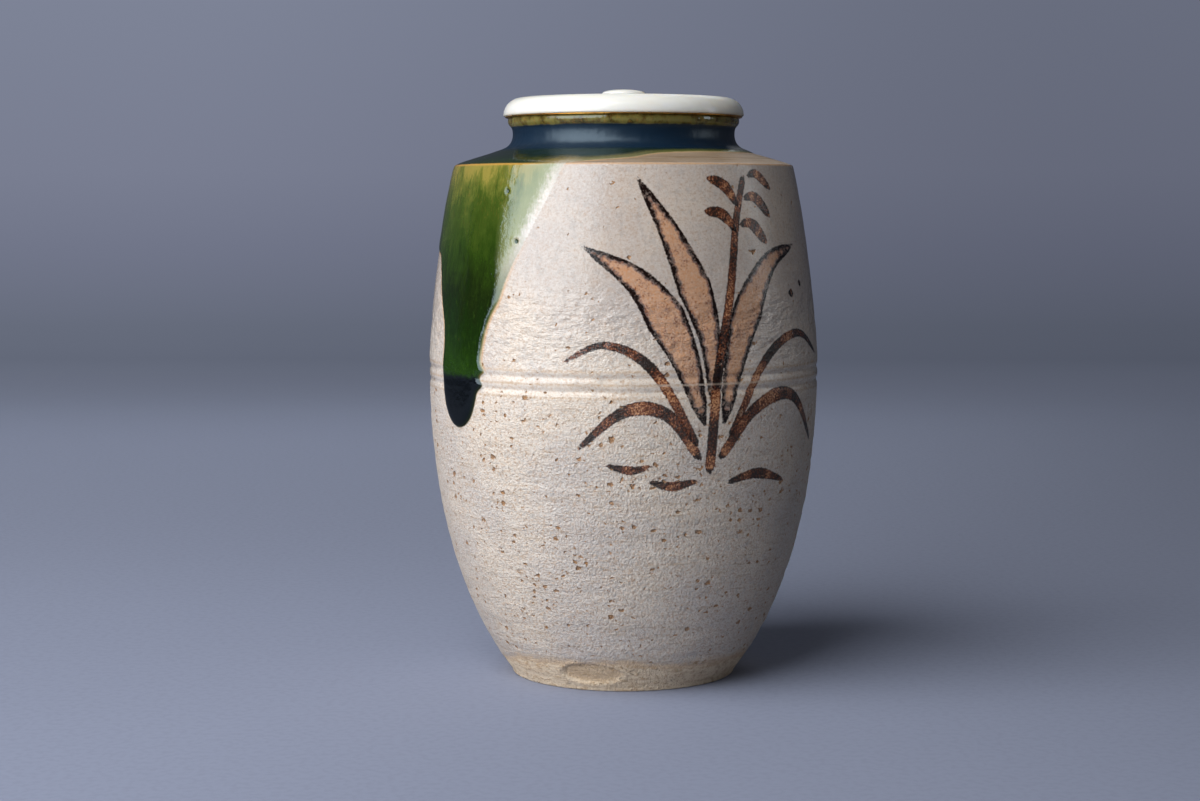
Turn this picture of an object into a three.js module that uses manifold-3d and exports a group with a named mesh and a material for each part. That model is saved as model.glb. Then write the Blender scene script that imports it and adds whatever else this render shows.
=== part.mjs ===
// Chaire, a thrown stoneware caddy for thick tea, with its poured green glaze and its ivory-coloured lid.
// Millimetres, +Z up. The origin is the centre of the flat base, and the front faces -Y.
// An outline is a list of points (radius, height), and a place on the outside is named by its reach:
// 0 to 1 down the neck from the lip, 1 to 2 out over the shoulder, 2 to 3 down the wall to the foot.
import * as THREE from 'three';
import { mergeVertices } from 'three/addons/utils/BufferGeometryUtils.js';
import Module from 'manifold-3d';

const wasm = await Module();
wasm.setup();

// Driving dimensions of the jar's outside, from the foot up
const footRadius = 17.3;
const bellyRadius = 30;
const bellyHeight = 48;
const shoulderRadius = 26;
const shoulderHeight = 78.3;
const shoulderRise = 2;
const neckRadius = 16.95;
const neckHeight = 5.2;
const coveReach = 2.3;
const coveHeight = 2.7;
const lipFlare = 0.75;
const lipTaper = 0.27;
const lipBand = 1.2;

// Driving dimensions of the jar's inside
const wallThickness = 2.6;
const neckWall = 2.35;
const neckBoreDepth = 6;
const mouthBevel = 0.4;
const floorThickness = 4;
const floorRadius = 8;

// Two turned grooves round the belly and the bare oval stamp recess at the foot
const grooveWidth = 1;
const grooveDepth = 0.17;
const grooveHeights = [45.8, 47.8];
const stampWidth = 9.6;
const stampHeight = 4;
const stampDepth = 0.35;
const stampRise = 2.8;
const stampTurnShare = -0.04;
const stampReachIn = 1.2;
const stampSpread = 3.1;

// Poured glaze: how deep it lies in the clay, how far it stands proud and the gap left round it
const glazeDepth = 0.45;
const glazeProud = 0.14;
const beadProud = 0.5;
const glazeEdgeProud = 0.04;
const meniscusWidth = 1.6;
const glazeStart = 0.25;
const glazeGap = 0.3;

// Driving dimensions of the lid and the gold leaf under it
const lidOverhang = 0.7;
const lidThickness = 2.8;
const lidEdgeRadius = 2.65;
const lidRimRound = 0.2;
const crownRise = 0.35;
const knobRadius = 3.35;
const knobHeight = 1;
const knobFlare = 0.3;
const knobFlatShare = 0.65;
const bossDepth = 2;
const bossChamfer = 0.3;
const leafThickness = 0.2;
const leafGlueGap = 0.1;
const leafMargin = 0.25;
const mouthClearance = 0.6;

// Facets of the round pieces, steps along their curves and the overrun of every cut
const jarSides = 54;
const lidSides = 48;
const wallSteps = 15;
const insideSteps = 5;
const curveSteps = 3;
const grooveSteps = 4;
const cutOverrun = 0.4;

// Edge of the glaze, from the back round by the left: share of a turn from the front, and reach.
// It crosses the arris at the back, hangs in one long run at the front left, climbs back over the
// arris to its right and keeps to the foot of the neck on the right side.
const glazeEdgeShares = [
  [-0.485, 2],
  [-0.417, 2.054],
  [-0.333, 2.104],
  [-0.264, 2.148],
  [-0.236, 2.161],
  [-0.208, 2.171],
  [-0.202, 2.198],
  [-0.193, 2.234],
  [-0.184, 2.27],
  [-0.178, 2.306],
  [-0.176, 2.376],
  [-0.1745, 2.403],
  [-0.17, 2.434],
  [-0.163, 2.46],
  [-0.154, 2.471],
  [-0.145, 2.468],
  [-0.135, 2.455],
  [-0.128, 2.436],
  [-0.124, 2.404],
  [-0.122, 2.34],
  [-0.119, 2.309],
  [-0.113, 2.278],
  [-0.104, 2.244],
  [-0.1, 2.21],
  [-0.094, 2.183],
  [-0.079, 2.12],
  [-0.065, 2.058],
  [-0.05, 2],
  [-0.037, 1.88],
  [-0.022, 1.71],
  [0, 1.54],
  [0.023, 1.36],
  [0.047, 1.24],
  [0.094, 1.13],
  [0.145, 1.11],
  [0.2, 1.11],
  [0.25, 1.12],
  [0.333, 1.2],
  [0.4, 1.45],
  [0.46, 1.78],
];
// Rows of points down the outside, the widest step between the coat's columns and its lowest row
const neckRowShares = [0, 0.2, 0.3, 0.43, 0.57, 0.71, 0.86];
const shoulderRowShares = [0, 0.5];
const columnStepShare = 1 / 56;
const leastRow = 0.2;
const probeShare = 1e-3;
const halvings = 40;

// Handles of the curves as shares of the steps they span, which set how full the outlines are
const underLipShare = 0.15;
const coveFallShares = [0.5, 0.84];
const coveOutShare = 0.33;
const shoulderBulgeShare = 0.1;
const shoulderHandleShares = [0.52, 0.264];
const bellyHighShare = 0.2;
const bellyLowShare = 0.667;
const footHandleShares = [0.205, 0.083];
const roofOutShare = 0.92;
const roofFallShare = 0.5;
const innerBellyHighShare = 0.42;
const innerFootShare = 0.62;

// Heights and radii that follow from the driving dimensions
const neckFootHeight = shoulderHeight + shoulderRise;
const lipHeight = neckFootHeight + neckHeight;
const waistHeight = neckFootHeight + coveHeight;
const lipRadius = neckRadius + lipFlare;
const mouthRadius = neckRadius - neckWall;
const lidRadius = lipRadius + lidOverhang;
const leafRadius = mouthRadius - mouthClearance;
const bossRadius = leafRadius - leafThickness - leafGlueGap;
const rimHeight = lipHeight + leafThickness;
const bossHeight = rimHeight - bossDepth;
const crownHeight = rimHeight + lidThickness + crownRise;

/** Solid that a closed three.js geometry bounds. */
function solidOf(geometry) {
  const bare = geometry.clone();
  bare.deleteAttribute('normal');
  bare.deleteAttribute('uv');
  const merged = mergeVertices(bare);
  const vertProperties = merged.attributes.position.array;
  const triVerts = new Uint32Array(merged.index.array);
  return new wasm.Manifold(new wasm.Mesh({ numProp: 3, vertProperties, triVerts }));
}

/** Geometry that shows a solid. */
function geometryOf(solid) {
  const mesh = solid.getMesh();
  const geometry = new THREE.BufferGeometry();
  geometry.setAttribute('position', new THREE.BufferAttribute(mesh.vertProperties, 3));
  geometry.setIndex(new THREE.BufferAttribute(mesh.triVerts, 1));
  geometry.computeVertexNormals();
  return geometry;
}

/** Point of an outline. */
function at(radius, height) {
  return new THREE.Vector2(radius, height);
}

/** Share of the way from one value to another. */
function between(from, to, share) {
  return from + (to - from) * share;
}

/** Outline turned round +Z, from the axis at its bottom and back to the axis, or closed on itself. */
function turned(outline, sides) {
  return new THREE.LatheGeometry(outline, sides).rotateX(Math.PI / 2);
}

/** Lip, waist and cove of the neck, from the lip's top corner down to the shoulder. */
function neckStretch() {
  const path = new THREE.Path().moveTo(lipRadius, lipHeight);
  const bandFoot = at(lipRadius - lipTaper, lipHeight - lipBand);
  path.lineTo(bandFoot.x, bandFoot.y);
  const underLip = between(bandFoot.y, waistHeight, underLipShare);
  path.quadraticCurveTo(neckRadius, underLip, neckRadius, waistHeight);
  path.bezierCurveTo(
    neckRadius,
    between(waistHeight, neckFootHeight, coveFallShares[0]),
    neckRadius + coveReach * coveOutShare,
    between(waistHeight, neckFootHeight, coveFallShares[1]),
    neckRadius + coveReach,
    neckFootHeight,
  );
  return path;
}

/** Slightly full slope of the shoulder, from the neck out to the arris. */
function shoulderStretch() {
  const start = at(neckRadius + coveReach, neckFootHeight);
  const middle = at(between(start.x, shoulderRadius, 0.5), between(start.y, shoulderHeight, 0.5));
  const path = new THREE.Path().moveTo(start.x, start.y);
  const fullness = shoulderRise * shoulderBulgeShare;
  path.quadraticCurveTo(middle.x, middle.y + fullness, shoulderRadius, shoulderHeight);
  return path;
}

/** Wall from the arris down over the belly to the foot. */
function wallStretch() {
  const path = new THREE.Path().moveTo(shoulderRadius, shoulderHeight);
  path.bezierCurveTo(
    between(shoulderRadius, bellyRadius, shoulderHandleShares[0]),
    between(shoulderHeight, bellyHeight, shoulderHandleShares[1]),
    bellyRadius,
    between(bellyHeight, shoulderHeight, bellyHighShare),
    bellyRadius,
    bellyHeight,
  );
  path.bezierCurveTo(
    bellyRadius,
    between(bellyHeight, 0, bellyLowShare),
    between(footRadius, bellyRadius, footHandleShares[0]),
    between(0, bellyHeight, footHandleShares[1]),
    footRadius,
    0,
  );
  return path;
}

const stretches = [neckStretch(), shoulderStretch(), wallStretch()];
const stretchLengths = stretches.map((stretch) => stretch.getLength());
const wallRowShares = Array.from({ length: wallSteps + 1 }, (_, row) => row / wallSteps);
const rowReaches = [neckRowShares, shoulderRowShares, wallRowShares].flatMap((shares, index) =>
  shares.map((share) => index + share),
);

/** Point of the outside at a reach; a reach below zero stands above the lip by the overrun. */
function pointAt(reach) {
  if (reach < 0) {
    return at(lipRadius, lipHeight - reach * cutOverrun);
  }
  const index = Math.min(Math.floor(reach), stretches.length - 1);
  return stretches[index].getPoint(reach - index);
}

/** Length along the outside from the lip to a reach. */
function lengthAt(reach) {
  return stretchLengths.reduce(
    (sum, length, index) => sum + length * THREE.MathUtils.clamp(reach - index, 0, 1),
    0,
  );
}

/** Reach at a length along the outside from the lip. */
function reachAt(length) {
  let rest = length;
  let reach = 0;
  for (const stretchLength of stretchLengths) {
    reach += THREE.MathUtils.clamp(rest / stretchLength, 0, 1);
    rest -= stretchLength;
  }
  return reach;
}

/** Left of a direction, as a unit vector: out of the clay for a step down the outside. */
function leftOf(step) {
  return at(-step.y, step.x).normalize();
}

/** Shared offset of two sides that meet at a corner, so that each side moves by one unit. */
function mitre(first, second) {
  return first.clone().add(second).divideScalar(1 + first.dot(second));
}

/** Way out of the clay at a reach, lengthened at a corner so that an offset keeps its distance. */
function wayOutAt(reach) {
  const middle = THREE.MathUtils.clamp(reach, probeShare, stretches.length - probeShare);
  const here = pointAt(middle);
  const above = leftOf(here.clone().sub(pointAt(middle - probeShare)));
  const below = leftOf(pointAt(middle + probeShare).sub(here));
  return mitre(above, below);
}

/** Place in space at a share of a turn from the front, a reach and an offset out of the clay. */
function placeAt(turn, reach, offset) {
  const point = pointAt(reach).addScaledVector(wayOutAt(reach), offset);
  const angle = 2 * Math.PI * turn;
  return new THREE.Vector3(point.x * Math.sin(angle), -point.x * Math.cos(angle), point.y);
}

/** Knot seen from another on the unrolled outside, with the short way round and the length down. */
function unrolled(knot, origin) {
  const turn = knot.turn - origin.turn - Math.round(knot.turn - origin.turn);
  const around = 2 * Math.PI * turn * pointAt(origin.reach).x;
  return at(around, lengthAt(knot.reach) - lengthAt(origin.reach));
}

/** Knots of the glaze's edge, with columns filled in where the knots stand far apart. */
function glazeEdge() {
  const knots = glazeEdgeShares.map(([turn, reach]) => ({ turn, reach }));
  return knots.flatMap((knot, index) => {
    const next = knots[(index + 1) % knots.length];
    const gap = next.turn - knot.turn - Math.floor(next.turn - knot.turn);
    const count = Math.ceil(gap / columnStepShare);
    const rise = lengthAt(next.reach) - lengthAt(knot.reach);
    return Array.from({ length: count }, (_, step) => ({
      turn: knot.turn + (gap * step) / count,
      reach: reachAt(lengthAt(knot.reach) + (rise * step) / count),
    }));
  });
}

/** Edge moved outward over the clay by a distance, each knot along the mitre of its two sides. */
function grownEdge(edge, distance) {
  return edge.map((knot, index) => {
    const before = leftOf(unrolled(edge.at(index - 1), knot).negate());
    const after = leftOf(unrolled(edge[(index + 1) % edge.length], knot));
    const move = mitre(before, after).multiplyScalar(distance);
    return {
      turn: knot.turn + move.x / (2 * Math.PI * pointAt(knot.reach).x),
      reach: reachAt(lengthAt(knot.reach) + move.y),
    };
  });
}

/** Distance over the clay from a place to the nearest side of an edge. */
function edgeDistance(edge, place) {
  const origin = new THREE.Vector3();
  const sides = edge.map((knot, index) => {
    const start = unrolled(knot, place);
    const end = unrolled(edge[(index + 1) % edge.length], place);
    const line = new THREE.Line3(
      new THREE.Vector3(start.x, start.y, 0),
      new THREE.Vector3(end.x, end.y, 0),
    );
    return line.closestPointToPoint(origin, true, new THREE.Vector3()).length();
  });
  return Math.min(...sides);
}

/** How far the glaze stands proud: a rounded margin, and a bead that swells as the run falls. */
function proudAt(edge, place) {
  const lowest = Math.max(...edge.map((knot) => lengthAt(knot.reach)));
  const arris = lengthAt(2);
  const fall = THREE.MathUtils.clamp((lengthAt(place.reach) - arris) / (lowest - arris), 0, 1);
  const full = between(glazeProud, beadProud, fall * fall);
  const margin = Math.min(edgeDistance(edge, place) / meniscusWidth, 1);
  return between(glazeEdgeProud, full, Math.sqrt(margin * (2 - margin)));
}

/** Reaches of one column's points, from the shell's top to where its edge cuts the column. */
function columnReaches(top, end) {
  const lowest = reachAt(lengthAt(end) - leastRow);
  return [top, ...rowReaches.filter((reach) => reach > top && reach < lowest), end];
}

/** Triangles between two neighbouring columns, left and right, whose points lie at their reaches. */
function stripBetween(left, right) {
  const triangles = [];
  let i = 0;
  let j = 0;
  while (i < left.length - 1 || j < right.length - 1) {
    const leftNext = i < left.length - 1 ? left[i + 1].reach : Infinity;
    const rightNext = j < right.length - 1 ? right[j + 1].reach : Infinity;
    if (leftNext <= rightNext) {
      triangles.push([left[i].index, left[i + 1].index, right[j].index]);
      i += 1;
    } else {
      triangles.push([left[i].index, right[j + 1].index, right[j].index]);
      j += 1;
    }
  }
  return triangles;
}

/** Closed shell round the jar from a top reach to an edge, between an outer and an inner offset. */
function shellGeometry(edge, top, outerOffset, innerOffset) {
  const points = [];
  const column = (knot, offsetAt) =>
    columnReaches(top, knot.reach).map((reach) => {
      const place = { turn: knot.turn, reach };
      points.push(placeAt(knot.turn, reach, offsetAt(place)));
      return { reach, index: points.length - 1 };
    });
  const outer = edge.map((knot) => column(knot, outerOffset));
  const inner = edge.map((knot) => column(knot, innerOffset));
  const triangles = edge.flatMap((_, index) => {
    const next = (index + 1) % edge.length;
    const [a, b, c, d] = [outer[index], outer[next], inner[next], inner[index]];
    const [aEnd, bEnd, cEnd, dEnd] = [a, b, c, d].map((points) => points.at(-1).index);
    return [
      ...stripBetween(a, b),
      ...stripBetween(d, c).map(([p, q, r]) => [p, r, q]),
      [a[0].index, b[0].index, c[0].index],
      [a[0].index, c[0].index, d[0].index],
      [aEnd, cEnd, bEnd],
      [aEnd, dEnd, cEnd],
    ];
  });
  const geometry = new THREE.BufferGeometry().setFromPoints(points);
  geometry.setIndex(triangles.flat());
  geometry.computeVertexNormals();
  return geometry;
}

/** Inside of the jar, from the bevel of the mouth down the bore and the wall to the floor. */
function insideOutline() {
  const innerBelly = bellyRadius - wallThickness;
  const boreFoot = lipHeight - neckBoreDepth;
  const path = new THREE.Path().moveTo(mouthRadius + mouthBevel, lipHeight);
  path.lineTo(mouthRadius, lipHeight - mouthBevel);
  path.lineTo(mouthRadius, boreFoot);
  path.bezierCurveTo(
    between(mouthRadius, innerBelly, roofOutShare),
    boreFoot - wallThickness * roofFallShare,
    innerBelly,
    between(bellyHeight, boreFoot, innerBellyHighShare),
    innerBelly,
    bellyHeight,
  );
  path.bezierCurveTo(
    innerBelly,
    between(bellyHeight, floorThickness, bellyLowShare),
    between(floorRadius, innerBelly, innerFootShare),
    floorThickness,
    floorRadius,
    floorThickness,
  );
  return path.getPoints(insideSteps);
}

/** Reach of the wall's point at a height. */
function wallReachAt(height) {
  let above = 2;
  let below = 3;
  for (let step = 0; step < halvings; step += 1) {
    const middle = (above + below) / 2;
    if (pointAt(middle).y > height) {
      above = middle;
    } else {
      below = middle;
    }
  }
  return (above + below) / 2;
}

/** Ring that cuts one turned groove round the belly at a height. */
function grooveRing(height) {
  const radius = (grooveWidth ** 2 / 4 + grooveDepth ** 2) / (2 * grooveDepth);
  const wall = pointAt(wallReachAt(height));
  const section = new THREE.Path();
  section.absarc(wall.x - grooveDepth + radius, height, radius, 0, 2 * Math.PI);
  return solidOf(turned(section.getPoints(grooveSteps), jarSides));
}

/** Oval tool that presses the stamp's recess, with a floor that follows the wall. */
function stampTool() {
  const oval = new THREE.Shape();
  oval.absellipse(0, 0, stampWidth / 2, stampHeight / 2, 0, 2 * Math.PI);
  const options = { depth: 2 * stampReachIn, bevelEnabled: false, curveSegments: lidSides / 4 };
  const prism = new THREE.ExtrudeGeometry(oval, options);
  const reach = wallReachAt(stampRise);
  const root = placeAt(stampTurnShare, reach, -stampReachIn);
  const outward = placeAt(stampTurnShare, reach, 0).sub(root).normalize();
  const around = new THREE.Vector3(0, 0, 1).cross(outward).normalize();
  const upward = outward.clone().cross(around);
  prism.applyMatrix4(new THREE.Matrix4().makeBasis(around, upward, outward).setPosition(root));
  const middle = lengthAt(reach);
  const rows = [1, 0.5, 0, -0.5, -1].map((share) => reachAt(middle + share * stampSpread));
  const floor = rows.map((row) => pointAt(row).addScaledVector(wayOutAt(row), -stampDepth));
  const core = [at(0, floor[0].y), ...floor, at(0, floor.at(-1).y)];
  return solidOf(prism).subtract(solidOf(turned(core, jarSides)));
}

/** Thrown stoneware jar, cut for the grooves, the stamp and the bed that the glaze lies in. */
function jarBody(edge) {
  const outside = rowReaches.map(pointAt).reverse();
  const outline = [at(0, 0), ...outside, ...insideOutline(), at(0, floorThickness)];
  const bedEdge = grownEdge(edge, glazeGap);
  const bed = shellGeometry(bedEdge, -1, () => cutOverrun, () => -glazeDepth - glazeGap);
  const tools = [...grooveHeights.map(grooveRing), stampTool(), solidOf(bed)];
  const blank = solidOf(turned(outline, jarSides));
  return geometryOf(tools.reduce((body, tool) => body.subtract(tool), blank));
}

/** Poured glaze from just under the lip to its edge, with the bead of its run. */
function glazeCoat(edge) {
  const top = reachAt(glazeStart);
  return shellGeometry(edge, top, (place) => proudAt(edge, place), () => -glazeDepth);
}

/** Lid turned in one with its knob above and its locating boss below. */
function lid() {
  const knobFoot = knobRadius + knobFlare;
  const knobTop = crownHeight + knobHeight;
  const edgeMiddle = at(lidRadius - lidEdgeRadius, rimHeight + lidRimRound);
  const path = new THREE.Path().moveTo(0, bossHeight);
  path.lineTo(bossRadius - bossChamfer, bossHeight);
  path.lineTo(bossRadius, bossHeight + bossChamfer);
  path.lineTo(bossRadius, rimHeight);
  path.lineTo(lidRadius - lidRimRound, rimHeight);
  path.lineTo(lidRadius, edgeMiddle.y);
  path.absellipse(
    edgeMiddle.x,
    edgeMiddle.y,
    lidEdgeRadius,
    lidThickness - lidRimRound,
    0,
    Math.PI / 2,
  );
  path.quadraticCurveTo(between(edgeMiddle.x, knobFoot, 0.5), crownHeight, knobFoot, crownHeight);
  path.quadraticCurveTo(knobRadius, crownHeight, knobRadius, crownHeight + knobFlare);
  path.quadraticCurveTo(knobRadius, knobTop, knobRadius * knobFlatShare, knobTop);
  path.lineTo(0, knobTop);
  return turned(path.getPoints(curveSteps), lidSides);
}

/** Gold leaf on its backing, a stepped skin under the lid's rim and round its boss. */
function goldLeaf() {
  const outline = [
    at(0, bossHeight - leafThickness),
    at(leafRadius, bossHeight - leafThickness),
    at(leafRadius, lipHeight),
    at(lidRadius - leafMargin, lipHeight),
    at(lidRadius - leafMargin, rimHeight),
    at(leafRadius - leafThickness, rimHeight),
    at(leafRadius - leafThickness, bossHeight),
    at(0, bossHeight),
  ];
  return turned(outline, lidSides);
}

/** Named mesh with its own material. */
function part(name, geometry, color, roughness, metalness) {
  const material = new THREE.MeshStandardMaterial({ color, roughness, metalness });
  const mesh = new THREE.Mesh(geometry, material);
  mesh.name = name;
  return mesh;
}

const edge = glazeEdge();
const caddy = new THREE.Group();
caddy.add(part('jar_body', jarBody(edge), 0xb2aba6, 0.5, 0));
caddy.add(part('green_glaze_coat', glazeCoat(edge), 0x2f3f17, 0.12, 0));
caddy.add(part('lid', lid(), 0xeeeee9, 0.3, 0));
caddy.add(part('gold_leaf_lining', goldLeaf(), 0xc9a24a, 0.35, 1));

export default caddy;
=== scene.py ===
"""Chaire, a thrown stoneware caddy for thick tea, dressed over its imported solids.

The jar, the green glaze poured over it, the ivory-coloured lid and the gold leaf under the lid are
each turned from a finer outline than their solids have, and then given the marks of throwing,
glazing, firing and use. Outlines are in millimetres and finished meshes in metres. A place on the
jar is named by its turn, in degrees from the front (-Y) round towards +X, and by how far down it
lies: millimetres down the outside from the lip, negative over the lip and inside, and beyond the
foot under the base. The caddy's finishes look their noise up in millimetres, the paper's in metres.
"""

import logging
import math
from dataclasses import dataclass, field
from enum import Enum
from typing import Any, Callable, ClassVar, Sequence

import bmesh
import bpy
import numpy as np
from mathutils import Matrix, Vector


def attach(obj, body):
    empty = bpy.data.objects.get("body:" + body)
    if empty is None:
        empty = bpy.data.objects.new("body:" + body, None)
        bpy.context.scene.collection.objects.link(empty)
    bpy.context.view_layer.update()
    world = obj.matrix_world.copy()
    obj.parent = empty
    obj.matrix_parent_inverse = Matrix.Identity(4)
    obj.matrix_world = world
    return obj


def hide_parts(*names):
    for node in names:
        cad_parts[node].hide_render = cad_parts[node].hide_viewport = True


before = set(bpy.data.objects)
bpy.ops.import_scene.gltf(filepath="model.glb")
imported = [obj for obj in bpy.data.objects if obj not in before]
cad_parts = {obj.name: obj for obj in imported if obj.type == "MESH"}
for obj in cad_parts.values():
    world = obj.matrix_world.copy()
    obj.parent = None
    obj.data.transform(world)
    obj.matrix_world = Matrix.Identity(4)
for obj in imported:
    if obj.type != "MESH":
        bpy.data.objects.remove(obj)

MILLIMETRE = 0.001
FAR = 99.0
FINE = 400
LOG = logging.getLogger("chaire")

Array = np.ndarray
Mesh = bmesh.types.BMesh
Piece = bpy.types.Object
Material = bpy.types.Material
Socket = bpy.types.NodeSocket
Point = Sequence[float]
Colour = tuple[float, float, float, float]
Stops = tuple[tuple[float, Colour], ...]


def paint(*screen: int) -> Colour:
    """Linear shader colour of red, green and blue from 0 to 255 as on a screen."""
    shares = [value / 255 for value in screen]
    return (*(s / 12.92 if s <= 0.04045 else ((s + 0.055) / 1.055) ** 2.4 for s in shares), 1.0)


def grey(light: float) -> Colour:
    """Even grey by its share of light."""
    return (light, light, light, 1.0)


def math_method(operation: str, swapped: bool = False) -> Callable[..., "Value"]:
    """Method of a value that adds one Math node.

    Args:
        operation: Blender's name of what the node works out.
        swapped: Whether the value comes after the other operand.

    Returns:
        The method, which takes the other operand where there is one.
    """

    def method(self: "Value", *others: "Number") -> "Value":
        """Number that the node gives."""
        return self.recipe.maths(operation, *((*others, self) if swapped else (self, *others)))

    return method


@dataclass(frozen=True)
class Varying:
    """What changes over a surface: an output socket and the recipe that it belongs to."""

    recipe: "Recipe"
    socket: Socket


class Value(Varying):
    """Number that varies over a surface; Python's operators add the Math nodes."""

    __add__ = __radd__ = math_method("ADD")
    __sub__ = math_method("SUBTRACT")
    __rsub__ = math_method("SUBTRACT", swapped=True)
    __mul__ = __rmul__ = math_method("MULTIPLY")
    __truediv__ = math_method("DIVIDE")
    __pow__ = math_method("POWER")
    __abs__ = math_method("ABSOLUTE")
    least = math_method("MINIMUM")
    most = math_method("MAXIMUM")

    def rise(self, low: "Number", high: "Number") -> "Value":
        """Smooth step that is 0 up to low and 1 from high on."""
        inputs = {"Value": self, "From Min": low, "From Max": high}
        return self.recipe.value("MapRange", inputs, interpolation_type="SMOOTHSTEP")

    def band(self, centre: "Number", half: "Number") -> "Value":
        """Smooth bump that is 1 at a centre and 0 from half a width away."""
        return 1 - (abs(self - centre) / half).rise(0.0, 1.0)

    def swing(self, reach: "Number") -> "Value":
        """Noise from 0 to 1 made to swing by half the reach to both sides of 0."""
        return (self - 0.5) * reach


Number = Value | float


class Tint(Varying):
    """Colour that varies over a surface."""

    def toward(self, other: "Tint | Colour", share: Number) -> "Tint":
        """Mix that is the other colour where the share is 1."""
        return self.recipe.mix(self, other, share)

    def times(self, other: "Tint | Colour", share: Number = 1.0) -> "Tint":
        """This colour multiplied by another, as far as the share says."""
        return self.recipe.mix(self, other, share, "MULTIPLY")

    def under(self, *coats: "tuple[Tint | Colour, Number]") -> "Tint":
        """This colour under several coats.

        Args:
            *coats: Colours from the lowest up, each with the share of it that shows.

        Returns:
            The colour that shows.
        """
        seen = self
        for colour, share in coats:
            seen = seen.toward(colour, share)
        return seen


class Recipe:
    """Node tree of one finish, where every node comes from one method."""

    def __init__(self, name: str, world: bool = False) -> None:
        """Starts an empty tree.

        Args:
            name: Name of the material or world.
            world: Whether it is the surroundings' tree.
        """
        self.owner = (bpy.data.worlds if world else bpy.data.materials).new(name)
        self.owner.use_nodes = True
        self.tree = self.owner.node_tree
        self.tree.nodes.clear()

    def node(self, kind: str, inputs: dict[str | int, Any], **settings: Any) -> bpy.types.Node:
        """Adds a node.

        Args:
            kind: Blender's type of the node without the ShaderNode before it.
            inputs: Numbers, colours or links of the sockets, by name or place.
            **settings: Properties, set first; stops are the places and colours of a ramp.

        Returns:
            The node.
        """
        made = self.tree.nodes.new("ShaderNode" + kind)
        for name, value in settings.items():
            if name == "stops":
                self.fill_ramp(made.color_ramp, value)
            else:
                setattr(made, name, value)
        for key, value in inputs.items():
            self.feed(made.inputs[key], value)
        return made

    def fill_ramp(self, ramp: bpy.types.ColorRamp, stops: Stops) -> None:
        """Gives a colour ramp its stops.

        Args:
            ramp: Ramp of a fresh node, with two stops.
            stops: Places from 0 to 1 with their colours.
        """
        while len(ramp.elements) < len(stops):
            ramp.elements.new(1.0)
        for element, (place, colour) in zip(ramp.elements, stops):
            element.position, element.color = place, colour

    def feed(self, socket: Socket, value: Any) -> None:
        """Links or sets one input socket.

        Args:
            socket: Input of a node.
            value: Value, tint, socket or plain number or colour.
        """
        value = value.socket if isinstance(value, Varying) else value
        if isinstance(value, Socket):
            self.tree.links.new(value, socket)
        else:
            socket.default_value = value

    def value(self, kind: str, inputs: dict[str | int, Any], **settings: Any) -> Value:
        """Number that a new node gives first."""
        return Value(self, self.node(kind, inputs, **settings).outputs[0])

    def maths(self, operation: str, *operands: Number) -> Value:
        """Adds a Math node."""
        return self.value("Math", dict(enumerate(operands)), operation=operation)

    def mix(self, first: Any, second: Any, share: Number, way: str = "MIX") -> Tint:
        """Adds a Mix node for two colours."""
        settings = {"data_type": "RGBA", "blend_type": way, "clamp_factor": True}
        return Tint(self, self.node("Mix", {0: share, 6: first, 7: second}, **settings).outputs[2])

    def ramp(self, share: Number, stops: Stops) -> Tint:
        """Colour looked up along a ramp."""
        return Tint(self, self.node("ValToRGB", {0: share}, stops=stops).outputs[0])

    def stored(self, *names: str) -> list[Value]:
        """Numbers stored at the points of the mesh."""
        nodes = [self.node("Attribute", {}, attribute_name=name) for name in names]
        return [Value(self, node.outputs["Fac"]) for node in nodes]

    def stored_vector(self, name: str) -> list[Value]:
        """Three numbers stored together at the points of the mesh."""
        return self.parts(self.node("Attribute", {}, attribute_name=name).outputs["Vector"])

    def parts(self, vector: Socket) -> list[Value]:
        """The three numbers of a vector."""
        return [Value(self, output) for output in self.node("SeparateXYZ", {0: vector}).outputs]

    def vector(self, *sides: Number) -> Socket:
        """Vector of three numbers."""
        return self.node("CombineXYZ", dict(enumerate(sides))).outputs[0]

    def vector_maths(self, operation: str, *operands: Any) -> Socket:
        """Adds a Vector Math node."""
        return self.node("VectorMath", dict(enumerate(operands)), operation=operation).outputs[0]

    def place(self) -> Socket:
        """Place on the piece in millimetres."""
        seen = self.node("TexCoord", {}).outputs["Object"]
        return self.stretched(seen, *(1 / MILLIMETRE,) * 3)

    def stretched(self, place: Socket, *shares: float) -> Socket:
        """Place with each side multiplied by its own share."""
        return self.vector_maths("MULTIPLY", place, shares)

    def noise(
        self,
        place: Socket,
        scale: float,
        detail: float = 2.0,
        rough: float = 0.5,
        flat: float = 1.0,
    ) -> Value:
        """Cloudy noise from 0 to 1, about 0.5 on average.

        Args:
            place: Where it is looked up.
            scale: Clouds for each unit of the place.
            detail: How many finer layers are added.
            rough: How strong the finer layers are.
            flat: How many times flatter than wide the clouds are.

        Returns:
            The noise.
        """
        if flat != 1:
            place = self.stretched(place, 1, 1, flat)
        inputs = {"Vector": place, "Scale": scale, "Detail": detail, "Roughness": rough}
        return self.value("TexNoise", inputs)

    def warped(self, place: Socket, scale: float, reach: float) -> Socket:
        """Place pushed about by cloudy noise, so that what is looked up there gets ragged outlines.

        Args:
            place: Place.
            scale: Clouds for each unit of the place.
            reach: How far it is pushed at most.

        Returns:
            The pushed place.
        """
        inputs = {"Vector": place, "Scale": scale, "Detail": 2.0}
        clouds = self.node("TexNoise", inputs).outputs[1]
        push = self.vector_maths("SUBTRACT", clouds, (0.5, 0.5, 0.5))
        return self.vector_maths("ADD", place, self.stretched(push, *(2 * reach,) * 3))

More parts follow.
